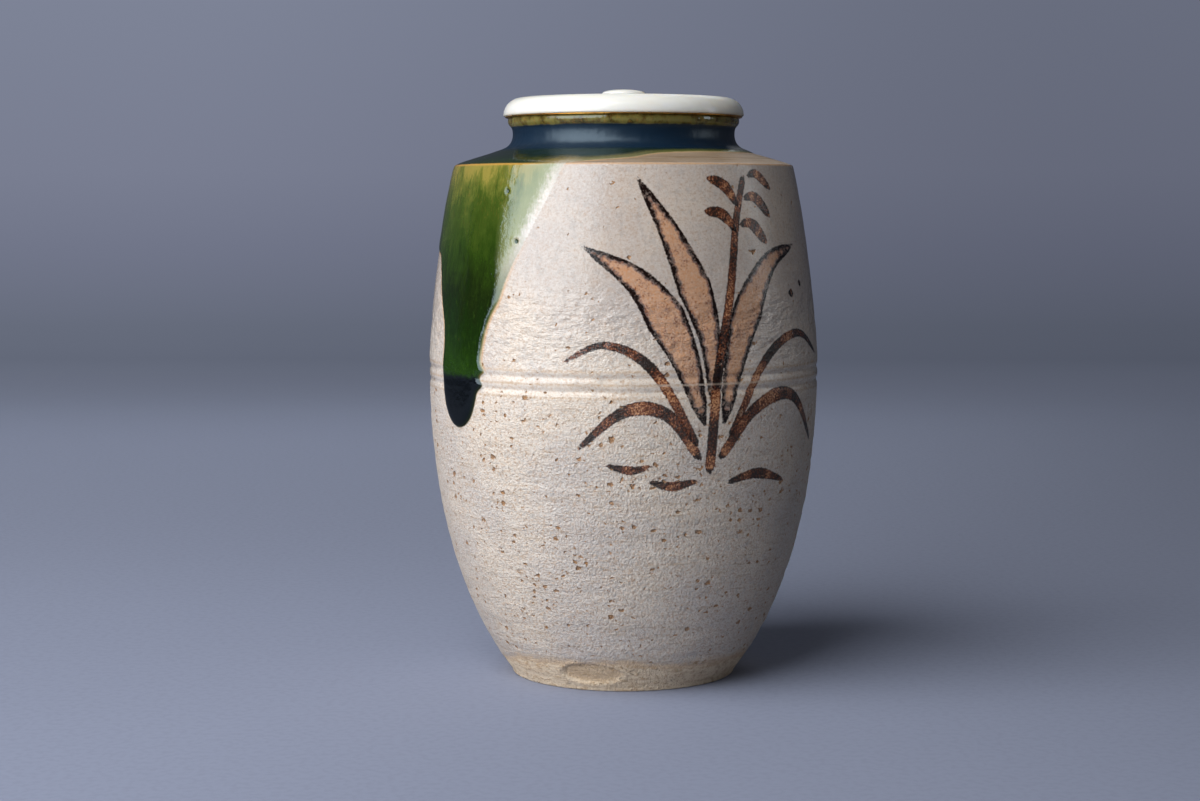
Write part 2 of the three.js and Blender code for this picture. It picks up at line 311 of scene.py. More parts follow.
    def specks(self, place: Socket, scale: float, radius: Number, share: Number) -> Value:
        """Scattered round specks of uneven size.

        Args:
            place: Where they are looked up.
            scale: Cells for each unit of the place, each with one speck at most.
            radius: Radius of the largest speck in units of the place.
            share: Share of the cells that hold a speck.

        Returns:
            How deep inside a speck the place lies, 0 outside and up to about the radius.
        """
        cells = self.node("TexVoronoi", {"Vector": place, "Scale": scale})
        chance = self.value("SeparateColor", {0: cells.outputs[1]})
        distance = Value(self, cells.outputs[0]) / scale
        size = (1 - (1 - chance) / share) * radius
        return (size - distance).most(0.0)

    def close(self, colour: Tint, rough: Number, relief: Value, **others: Any) -> Material:
        """Ends the tree in a Principled surface.

        Args:
            colour: Colour of the surface.
            rough: Roughness.
            relief: Height of the surface in millimetres, which bends its normals.
            **others: Further sockets by name, with underscores for their spaces.

        Returns:
            The material.
        """
        bump = self.node("Bump", {"Strength": 1.0, "Distance": MILLIMETRE, "Height": relief})
        inputs = {"Base Color": colour, "Roughness": rough, "Normal": bump.outputs[0]}
        inputs |= {name.replace("_", " "): value for name, value in others.items()}
        surface = self.node("BsdfPrincipled", inputs)
        self.node("OutputMaterial", {"Surface": surface.outputs[0]})
        return self.owner


def bezier(steps: int, *points: Point) -> Array:
    """Points along a Bezier curve.

    Args:
        steps: How many steps the curve is cut into.
        *points: Two, three or four control points (radius, height).

    Returns:
        Points, one row each.
    """
    share = np.linspace(0, 1, steps + 1)[:, None]
    levels = [np.array(point, float)[None, :] + 0 * share for point in points]
    while len(levels) > 1:
        levels = [first + (second - first) * share for first, second in zip(levels, levels[1:])]
    return levels[0]


def joined(*stretches: Array) -> Array:
    """One line of stretches that each start where the one before ends."""
    return np.vstack([stretches[0], *(stretch[1:] for stretch in stretches[1:])])


def flowing(knots: Array, steps: int = 8) -> Array:
    """Smooth line through knots, whose first and last only steer it.

    Args:
        knots: Knots, one row each.
        steps: Points from knot to knot.

    Returns:
        Points, one row each, without the knot that the line ends at.
    """
    share = np.linspace(0, 1, steps, endpoint=False)[:, None]
    cube, square = share**3, share**2
    spans = []
    for before, start, end, after in zip(knots, knots[1:], knots[2:], knots[3:]):
        left, right = (end - before) / 2, (after - start) / 2
        spans.append(
            start * (2 * cube - 3 * square + 1)
            + left * (cube - 2 * square + share)
            + end * (3 * square - 2 * cube)
            + right * (cube - square)
        )
    return np.vstack(spans)


def smooth_share(values: Array, low: float, high: float) -> Array:
    """Smooth step that is 0 up to low and 1 from high on."""
    share = np.clip((values - low) / (high - low), 0, 1)
    return share * share * (3 - 2 * share)


def hump(values: Array, centre: float, half: float) -> Array:
    """Smooth hump that is 1 at its centre and falls away on both sides."""
    return np.exp(-(((values - centre) / half) ** 2))


def lengths_along(points: Array) -> Array:
    """Length from the first point to each point of a line."""
    return np.concatenate([[0.0], np.cumsum(np.linalg.norm(np.diff(points, axis=0), axis=1))])


def short_way(turn: Array) -> Array:
    """Degrees from -180 to 180 that come to the same turn."""
    return (turn + 180) % 360 - 180


def nearest(x: Array, y: Array, across: Array, down: Array | float) -> tuple[Array, Array]:
    """Where a straight stretch comes nearest to the middle: share along it, and distance."""
    share = np.clip(-(x * across + y * down) / (across * across + down * down), 0, 1)
    return share, np.hypot(x + share * across, y + share * down)


def rows_along(plan: Sequence[Point], start: float) -> Array:
    """Places of the rows of points.

    Args:
        plan: Ends of the stretches, each with the step of its rows.
        start: Where the first stretch starts.

    Returns:
        Millimetres down, rising.
    """
    places = [np.array([start])]
    for end, step in plan:
        count = max(1, math.ceil((end - start) / step))
        places.append(np.linspace(start, end, count + 1)[1:])
        start = end
    return np.concatenate(places)


@dataclass(frozen=True)
class Unevenness:
    """Smooth seeded unevenness over the unrolled jar, which closes on itself round the back.

    Attributes:
        seed: Seed of its random heights.
        around: How many waves it has round the jar.
        step: Length of a wave down the jar in millimetres.
        height: Height of its tallest waves.
        rows: How many rows of waves it has, of which the middle one starts near the shoulder.
    """

    seed: int
    around: int
    step: float
    height: float = 1.0
    rows: ClassVar[int] = 400

    def at(self, turn: Array, down: Array | float = 0.0) -> Array:
        """Heights at places on the jar.

        Args:
            turn: Degrees from the front.
            down: Millimetres down the outside.

        Returns:
            Heights on both sides of 0.
        """
        heights = np.random.default_rng(self.seed).uniform(-1, 1, (self.rows, self.around))
        column = (turn / 360 % 1) * self.around
        row = down / self.step + 180
        left, top = np.floor(column).astype(int), np.floor(row).astype(int)
        across, along = column - left, row - top
        across, along = across**2 * (3 - 2 * across), along**2 * (3 - 2 * along)
        right, below = (left + 1) % self.around, np.clip(top + 1, 0, self.rows - 1)
        left, top = left % self.around, np.clip(top, 0, self.rows - 1)
        upper = heights[top, left] * (1 - across) + heights[top, right] * across
        lower = heights[below, left] * (1 - across) + heights[below, right] * across
        return (upper * (1 - along) + lower * along) * self.height


@dataclass
class JarForm:
    """Turned form of the jar, in millimetres, from which its skin and its glaze are both made."""

    foot_radius: float = 17.3
    belly_radius: float = 30.0
    belly_height: float = 48.0
    shoulder_radius: float = 26.0
    shoulder_height: float = 78.3
    neck_foot_radius: float = 19.25
    neck_foot_height: float = 80.3
    neck_radius: float = 16.95
    waist_height: float = 83.0
    lip_radius: float = 17.7
    lip_height: float = 85.5
    lip_band: float = 1.2
    lip_taper: float = 0.27
    mouth_radius: float = 14.6
    mouth_bevel: float = 0.4
    bore_foot: float = 79.5
    inner_belly: float = 27.4
    floor_radius: float = 8.0
    floor_height: float = 4.0
    corner_softness: float = 0.2
    line_step: float = 0.05
    downs: Array = field(init=False, repr=False)
    line: Array = field(init=False, repr=False)
    ways: Array = field(init=False, repr=False)
    arris: float = field(init=False)
    foot: float = field(init=False)

    def __post_init__(self) -> None:
        """Draws the whole outline once, from the middle of the floor to the middle of the base."""
        outside = self.outside()
        inside = self.inside()
        base = np.array([(self.foot_radius, 0.0), (0.0, 0.0)])
        whole = joined(inside, outside, base)
        lengths = lengths_along(whole)
        start = lengths[len(inside) - 1]
        steps = np.arange(0, lengths[-1], self.line_step)
        even = np.stack([np.interp(steps, lengths, side) for side in whole.T], axis=1)
        self.line = self.softened(even)
        self.downs = steps - start
        slopes = np.gradient(self.line, axis=0)
        slopes /= np.linalg.norm(slopes, axis=1)[:, None]
        self.ways = np.stack([-slopes[:, 1], slopes[:, 0]], axis=1)
        self.foot = float(lengths[len(inside) + len(outside) - 2] - start)
        crest = np.argmax(outside[:, 0] >= self.shoulder_radius)
        self.arris = float(lengths_along(outside)[crest])

    def outside(self) -> Array:
        """Outline from the lip's corner down the neck, the shoulder and the wall to the foot."""
        band = (self.lip_radius - self.lip_taper, self.lip_height - self.lip_band)
        waist = (self.neck_radius, self.waist_height)
        cove = (self.neck_foot_radius, self.neck_foot_height)
        crest = (self.shoulder_radius, self.shoulder_height)
        belly = (self.belly_radius, self.belly_height)
        return joined(
            bezier(20, (self.lip_radius, self.lip_height), band),
            bezier(FINE, band, (self.neck_radius, band[1] - 0.195), waist),
            bezier(FINE, waist, (self.neck_radius, 81.65), (17.709, 80.732), cove),
            bezier(FINE, cove, (22.625, 79.5), crest),
            bezier(FINE, crest, (28.08, 70.3), (self.belly_radius, 54.06), belly),
            bezier(FINE, belly, (self.belly_radius, 15.98), (19.9, 3.98), (self.foot_radius, 0.0)),
        )

    def inside(self) -> Array:
        """Outline from the middle of the floor up the inside and over the lip to its corner."""
        belly = (self.inner_belly, self.belly_height)
        floor = (self.floor_radius, self.floor_height)
        bore = (self.mouth_radius, self.bore_foot)
        mouth = (self.mouth_radius, self.lip_height - self.mouth_bevel)
        bevel = (self.mouth_radius + self.mouth_bevel, self.lip_height)
        return joined(
            bezier(20, (0.0, self.floor_height), floor),
            bezier(FINE, floor, (20.03, self.floor_height), (self.inner_belly, 18.65), belly),
            bezier(FINE, belly, (self.inner_belly, 61.23), (26.38, 78.2), bore),
            bezier(20, bore, mouth),
            bezier(20, mouth, bevel),
            bezier(20, bevel, (self.lip_radius, self.lip_height)),
        )

    def softened(self, line: Array) -> Array:
        """Line with its corners rounded, while its two ends stay on the axis.

        Args:
            line: Evenly spaced points (radius, height).

        Returns:
            Line with as many points.
        """
        reach = int(3 * self.corner_softness / self.line_step)
        steps = np.arange(-reach, reach + 1) * self.line_step
        weights = np.exp(-0.5 * (steps / self.corner_softness) ** 2)
        mirrored = np.array([-1.0, 1.0])
        ahead = line[1 : reach + 1][::-1] * mirrored
        behind = line[-reach - 1 : -1][::-1] * mirrored
        weights /= weights.sum()
        sides = np.vstack([ahead, line, behind]).T
        soft = np.stack([np.convolve(side, weights, "valid") for side in sides], axis=1)
        soft[[0, -1], 0] = 0.0
        return soft

    def point(self, down: Array, offset: Array | float = 0.0) -> Array:
        """Outline points at how far down they lie.

        Args:
            down: Millimetres down the outside.
            offset: Millimetres out of the clay.

        Returns:
            Points (radius, height), one row each.
        """
        sides = [
            np.interp(down, self.downs, line) + offset * np.interp(down, self.downs, way)
            for line, way in zip(self.line.T, self.ways.T)
        ]
        return np.stack(sides, axis=1)

    def down_at(self, height: float) -> float:
        """How far down the wall a height lies."""
        wall = (self.downs >= self.arris) & (self.downs <= self.foot)
        return float(np.interp(-height, -self.line[wall, 1], self.downs[wall]))


@dataclass
class GlazeEdge:
    """Free edge of the poured glaze on the unrolled jar, as a loop right round it.

    Attributes:
        form: Turned form that the glaze lies on.
        knots: Turn in degrees, millimetres down and how softly the glaze thins out there.
        waves: Waves that the hand-poured edge wanders in.
    """

    form: JarForm
    knots: tuple[tuple[float, float, float], ...] = (
        (-174.6, 13.6, 0.3), (-150.1, 17.4, 0.1), (-136.0, 20.8, 0.0), (-119.9, 21.6, 0.0),
        (-107.0, 24.9, 0.0), (-95.0, 25.4, 0.0), (-85.0, 26.7, 0.0), (-76.5, 27.3, 0.0),
        (-72.6, 29.6, 0.0), (-69.5, 32.6, 0.0), (-66.2, 35.5, 0.0), (-63.9, 38.4, 0.0),
        (-63.3, 41.4, 0.0), (-63.8, 44.1, 0.0), (-63.3, 46.4, 0.0), (-62.2, 49.0, 0.0),
        (-60.3, 51.0, 0.0), (-57.4, 52.3, 0.0), (-54.2, 52.6, 0.0), (-50.9, 52.0, 0.0),
        (-48.2, 50.6, 0.0), (-46.4, 48.7, 0.0), (-45.4, 47.2, 0.0), (-43.5, 46.1, 0.0),
        (-44.4, 44.9, 0.0), (-42.6, 44.0, 0.0), (-43.7, 42.7, 0.0), (-43.5, 41.0, 0.0),
        (-42.7, 38.7, 0.0), (-40.9, 36.2, 0.0), (-37.9, 33.5, 0.1), (-35.9, 30.7, 0.3),
        (-33.5, 28.2, 0.6), (-28.2, 23.4, 1.0), (-22.8, 18.3, 1.0), (-18.6, 13.9, 0.8),
        (-12.5, 12.6, 0.35), (-5.0, 11.8, 0.3), (3.6, 10.7, 0.3), (10.3, 9.2, 0.25),
        (16.8, 8.2, 0.15), (33.8, 7.45, 0.1), (52.0, 7.3, 0.1), (73.0, 7.35, 0.1),
        (90.0, 7.4, 0.1), (119.9, 8.0, 0.1), (144.0, 9.8, 0.2), (165.6, 12.0, 0.3),
    )
    waves: tuple[Unevenness, ...] = (Unevenness(46, 46, 3.0, 0.12), Unevenness(150, 150, 3.0, 0.04))

    def loop(self) -> Array:
        """Fine points of the edge, turn by turn, with one turn more at its end.

        Returns:
            Rows of turn, millimetres down and softness.
        """
        knots = np.array(self.knots)
        lap = np.array([360.0, 0.0, 0.0])
        line = flowing(np.vstack([knots[-1:] - lap, knots, knots[:2] + lap]))
        for waves in self.waves:
            line[:, 1] += waves.at(line[:, 0], line[:, 1])
            line[:, 0] += 2 * waves.at(line[:, 0] + 77, line[:, 1])
        return np.vstack([line, line[:1] + lap])

    def reach(self, turn: Array, down: Array) -> tuple[Array, Array]:
        """How far inside the glaze's edge places lie.

        Args:
            turn: Degrees from the front.
            down: Millimetres down the outside.

        Returns:
            Millimetres inside the edge, negative on the bare side, and the edge's softness there.
        """
        line = self.loop()
        distance = np.full(len(turn), FAR)
        soft = np.zeros(len(turn))
        crossed = np.zeros(len(turn), bool)
        scale = np.radians(np.maximum(self.form.point(down)[:, 0], 1.0))
        for (turn0, down0, soft0), (turn1, down1, soft1) in zip(line, line[1:]):
            away, below = short_way(turn0 - turn), down0 - down
            along, apart = nearest(away * scale, below, (turn1 - turn0) * scale, down1 - down0)
            nearer = apart < distance
            distance = np.where(nearer, apart, distance)
            soft = np.where(nearer, soft0 + (soft1 - soft0) * along, soft)
            past = (away > 0) != (away + turn1 - turn0 > 0)
            width = turn1 - turn0 if abs(turn1 - turn0) > 1e-9 else 1e-9
            level = below + (down1 - down0) * np.clip(-away / width, 0, 1)
            crossed ^= past & (np.abs(away) < 90) & (level < 0)
        return np.where(crossed, -distance, distance), soft


def spun(points: Array, places: Array, columns: int) -> tuple[Mesh, Array]:
    """Wraps a flat grid round the axis along an outline, and closes its seam and its poles.

    Args:
        points: Outline points (radius, height) in millimetres.
        places: Number that each outline point hands to its ring.
        columns: How many columns the ring has.

    Returns:
        Mesh in millimetres with its faces turned outwards, and the number of every point.
    """
    made = bmesh.new()
    last = len(points) - 1
    bmesh.ops.create_grid(made, x_segments=columns, y_segments=last, size=1.0)
    kept = made.verts.layers.float.new("place")
    for vert in made.verts:
        column = round((vert.co.x + 1) / 2 * columns)
        row = round((vert.co.y + 1) / 2 * last)
        angle = 2 * math.pi * (column / columns - 0.5)
        radius, height = points[row]
        vert.co = (radius * math.sin(angle), -radius * math.cos(angle), height)
        vert[kept] = places[row]
    bmesh.ops.remove_doubles(made, verts=made.verts[:], dist=1e-5)
    bmesh.ops.recalc_face_normals(made, faces=made.faces[:])
    widest = max(made.faces, key=lambda face: face.calc_center_median().to_2d().length)
    if widest.normal.dot(widest.calc_center_median().to_2d().to_3d()) < 0:
        bmesh.ops.reverse_faces(made, faces=made.faces[:])
    made.verts.index_update()
    return made, np.array([vert[kept] for vert in made.verts])


def places_of(made: Mesh) -> Array:
    """Rows of x, y and z of every point."""
    return np.array([vert.co[:] for vert in made.verts])


def turns_of(made: Mesh) -> Array:
    """Turn of every point in degrees from the front."""
    x, y, _ = places_of(made).T
    return np.degrees(np.arctan2(x, -y))


def around_axis(points: Array, turn: Array) -> Array:
    """Rows of x, y and z of points (radius, height) at their turns."""
    angle, radius = np.radians(turn), points[:, 0]
    return np.stack([radius * np.sin(angle), -radius * np.cos(angle), points[:, 1]], axis=1)


def shown(
    name: str,
    made: Mesh,
    places: Array,
    stored: dict[str, Array],
    finish: Material,
    stray: Array | None = None,
) -> Piece:
    """Puts a finished mesh in the scene.

    Args:
        name: Name of the piece.
        made: Mesh in millimetres, freed here.
        places: Final place of every point in millimetres.
        stored: Numbers or vectors that the finish reads at the points.
        finish: Material of the piece.
        stray: Which points the piece has no use for; faces with only such points go.

    Returns:
        The piece, at the origin.
    """
    mesh = bpy.data.meshes.new(name)
    made.to_mesh(mesh)
    made.free()
    mesh.vertices.foreach_set("co", (places * MILLIMETRE).astype(np.float32).ravel())
    mesh.attributes.remove(mesh.attributes["place"])
    for title, values in stored.items():
        kind, key = ("FLOAT", "value") if values.ndim == 1 else ("FLOAT_VECTOR", "vector")
        layer = mesh.attributes.new(title, kind, "POINT")
        layer.data.foreach_set(key, values.astype(np.float32).ravel())
    if stray is not None:
        trimmed = bmesh.new()
        trimmed.from_mesh(mesh)
        faces = [face for face in trimmed.faces if all(stray[vert.index] for vert in face.verts)]
        bmesh.ops.delete(trimmed, geom=faces, context="FACES")
        trimmed.to_mesh(mesh)
        trimmed.free()
    return placed(name, mesh, finish)


def placed(name: str, mesh: bpy.types.Mesh, finish: Material) -> Piece:
    """Gives a mesh its finish and stands it in the scene.

    Args:
        name: Name of the piece.
        mesh: Its mesh in metres.
        finish: Its material.

    Returns:
        The piece, at the origin.
    """
    mesh.shade_smooth()
    mesh.materials.append(finish)
    mesh.update()
    piece = bpy.data.objects.new(name, mesh)
    bpy.context.scene.collection.objects.link(piece)
    return piece


class Mark(Enum):
    """Kinds of brush mark: a drawn line, or a leaf of thin wash with a dark outline."""

    LINE = "line"
    LEAF = "leaf"


@dataclass(frozen=True)
class Stroke:
    """One stroke of iron-brown pigment.

    Attributes:
        layer: Which of the stored layers holds it; strokes that cross lie in different ones.
        width: Half its greatest width in millimetres.
        swell: Shares of that width at its start, its middle and its end.
        way: Turn in degrees and height in millimetres of the points that the brush passes.
        outside: Millimetres inside the edge that stand for no stroke near.
        slack: How far beyond its width points are looked at.
        narrowest: Least radius of the jar where strokes lie.
    """

    layer: int
    width: float
    swell: tuple[float, float, float]
    way: tuple[tuple[float, float], ...]
    outside: ClassVar[float] = -1.4
    slack: ClassVar[float] = 2.5
    narrowest: ClassVar[float] = 24.0

    def path(self, form: JarForm) -> Array:
        """Rows of turn and millimetres down of the stroke's fine points on the turned form."""
        knots = np.array([(turn, form.down_at(height)) for turn, height in self.way])
        ends = np.vstack([2 * knots[:1] - knots[1:2], knots, 2 * knots[-1:] - knots[-2:-1]])
        return np.vstack([flowing(ends), knots[-1:]])

    def lay(self, form: JarForm, turn: Array, down: Array, layer: Array) -> None:
        """Writes the stroke into its layer.

        Args:
            form: Turned form that it lies on.
            turn: Turn of every point of the jar.
            down: Millimetres down of every point.
            layer: Rows of millimetres inside the stroke's edge, half width and millimetres along.
        """
        path = self.path(form)
        margin = self.width + self.slack
        low, high = path.min(axis=0), path.max(axis=0)
        spread = math.degrees(margin / self.narrowest)
        near = (turn > low[0] - spread) & (turn < high[0] + spread)
        near &= (down > low[1] - margin) & (down < high[1] + margin)
        chosen = np.nonzero(near)[0]
        turn, down = turn[chosen], down[chosen]
        scale = np.radians(form.point(down)[:, 0])
        best = np.full(len(chosen), FAR)
        along = np.zeros(len(chosen))
        passed = 0.0
        for (turn0, down0), (turn1, down1) in zip(path, path[1:]):
            across, fall = (turn1 - turn0) * scale, down1 - down0
            share, apart = nearest((turn0 - turn) * scale, down0 - down, across, fall)
            length = np.hypot(across, fall)
            nearer = apart < best
            best = np.where(nearer, apart, best)
            along = np.where(nearer, passed + share * length, along)
            passed += float(np.median(length))
        place = np.clip(along / passed, 0, 1)
        swell = np.interp(place, (0, 0.5, 1), self.swell) + np.sin(math.pi * place) * 0.12
        to_end = np.minimum(along, passed - along) / (self.width * 1.2)
        half = self.width * swell * np.sqrt(np.clip(to_end + 0.12, 0, 1))
        inside = np.maximum(half - best, self.outside)
        closer = inside > layer[chosen, 0]
        layer[chosen[closer]] = np.stack([inside, half, along], axis=1)[closer]


@dataclass(frozen=True)
class Brushwork:
    """A clump of autumn grass with broad leaves and seed stalks, brushed on the front right.

    Attributes:
        layers: Kind of mark of each stored layer, by its number, the lowest first.
        strokes: All strokes.
    """

    layers: ClassVar[dict[int, Mark]] = {
        2: Mark.LEAF,
        3: Mark.LEAF,
        0: Mark.LINE,
        1: Mark.LINE,
    }
    strokes: tuple[Stroke, ...] = (
        Stroke(2, 2.7, (0.3, 1.0, 0.14), ((23, 41), (16, 52), (5, 61), (-12, 66.5))),
        Stroke(3, 2.4, (0.25, 1.0, 0.14), ((26, 43), (24, 55), (15, 67), (4, 76.4))),
        Stroke(2, 2.5, (0.3, 1.0, 0.16), ((29, 41), (35, 54), (47, 63.5), (63, 66.5))),
        Stroke(0, 0.85, (1.0, 0.8, 0.7), ((25, 34), (27, 48), (32, 60), (36, 70), (41, 76.6))),
        Stroke(0, 0.95, (0.7, 1.0, 0.4), ((22, 36), (12, 42.6), (0, 43), (-13, 37.5))),
        Stroke(1, 0.95, (0.8, 1.0, 0.4), ((28, 36), (40, 43), (56, 44.5), (72, 37))),
        Stroke(0, 0.75, (0.8, 1.0, 0.45), ((31, 39), (44, 50), (60, 53.5), (76, 50))),
        Stroke(1, 0.75, (0.8, 1.0, 0.45), ((21, 38), (8, 49), (-5, 52.5), (-17, 50))),
        Stroke(1, 0.85, (0.5, 1.0, 0.8), ((37.5, 72), (33, 75), (27, 76.2))),
        Stroke(1, 0.85, (0.5, 1.0, 0.8), ((36, 68.4), (31, 71), (25, 71.4))),
        Stroke(1, 0.85, (0.5, 1.0, 0.8), ((39.5, 73.2), (45, 73.4), (51, 70.6))),
        Stroke(1, 0.9, (0.5, 1.0, 0.8), ((37, 69.4), (42, 69.6), (48, 66.8))),
        Stroke(1, 0.75, (0.5, 1.0, 0.7), ((42.5, 76.4), (47, 76.8), (53.5, 74.6))),
        Stroke(1, 0.9, (0.8, 1.0, 0.8), ((57, 59.5), (59.4, 59.2))),
        Stroke(1, 0.75, (0.8, 1.0, 0.8), ((64, 60.8), (65.8, 60.6))),
        Stroke(0, 0.7, (0.5, 1.0, 0.5), ((7, 33.0), (14, 32.2), (22, 33.0))),
        Stroke(0, 0.8, (0.5, 1.0, 0.4), ((31, 32.4), (42, 33.4), (55, 31.8))),
        Stroke(1, 0.65, (0.5, 1.0, 0.5), ((-5, 35.4), (2, 34.6), (8, 35.2))),
    )

    def laid(self, form: JarForm, turn: Array, down: Array) -> dict[str, Array]:
        """Stored layers of all strokes.

        Args:
            form: Turned form that they lie on.
            turn: Turn of every point of the jar.
            down: Millimetres down of every point.

        Returns:
            Vectors by the name of their layer.
        """
        blank = (Stroke.outside, 0.0, 0.0)
        made = {index: np.tile(blank, (len(turn), 1)) for index in sorted(self.layers)}
        for stroke in self.strokes:
            stroke.lay(form, turn, down, made[stroke.layer])
        return {f"brush_{index}": layer for index, layer in made.items()}


@dataclass(frozen=True)
class CreamGlaze:
    """Thin cream glaze over a speckled clay, shared by the jar and the thin edge of the green."""

    warm: Colour = paint(238, 226, 211)
    cool: Colour = paint(219, 211, 204)
    peach: Colour = paint(194, 156, 120)
    pale: Colour = paint(238, 232, 223)
    clay: Colour = paint(150, 120, 92)
    ash: Colour = paint(196, 190, 184)
    speck: Colour = paint(78, 52, 38)

    def tint(self, recipe: Recipe, place: Socket, sandy: Number) -> Tint:
        """Colour of the glaze before its pits.

        Args:
            recipe: Tree that it is added to.
            place: Place in millimetres.
            sandy: How strongly the clay's grain shows through, from 0 to 1.

        Returns:
            The colour.
        """
        clouds = recipe.noise(place, 0.09, 4.0)
        grain = recipe.noise(place, 2.4, 3.0, 0.65, flat=1.3)
        fine = recipe.noise(place, 5.5, 2.0, 0.6)
        patches = recipe.noise(place, 1.1, 3.0, 0.6, flat=0.7)
        freckles = recipe.specks(recipe.warped(place, 1.2, 0.2), 0.3, 0.3, 0.1).rise(0.02, 0.14)
        return recipe.mix(self.cool, self.warm, clouds.rise(0.3, 0.7)).under(
            (self.ash, patches.rise(0.5, 0.68) * 0.5),
            (self.peach, (1 - patches.rise(0.32, 0.46)) * 0.2),
            (self.peach, grain.rise(0.49, 0.68) * (0.4 + clouds * 0.6) * sandy * 0.9),
            (self.pale, (1 - grain.rise(0.34, 0.48)) * 0.5),
            (self.peach, fine.rise(0.56, 0.72) * sandy * 0.7),
            (self.clay, (1 - fine.rise(0.28, 0.4)) * sandy * 0.8),
            (self.speck, freckles * 0.85),
        )


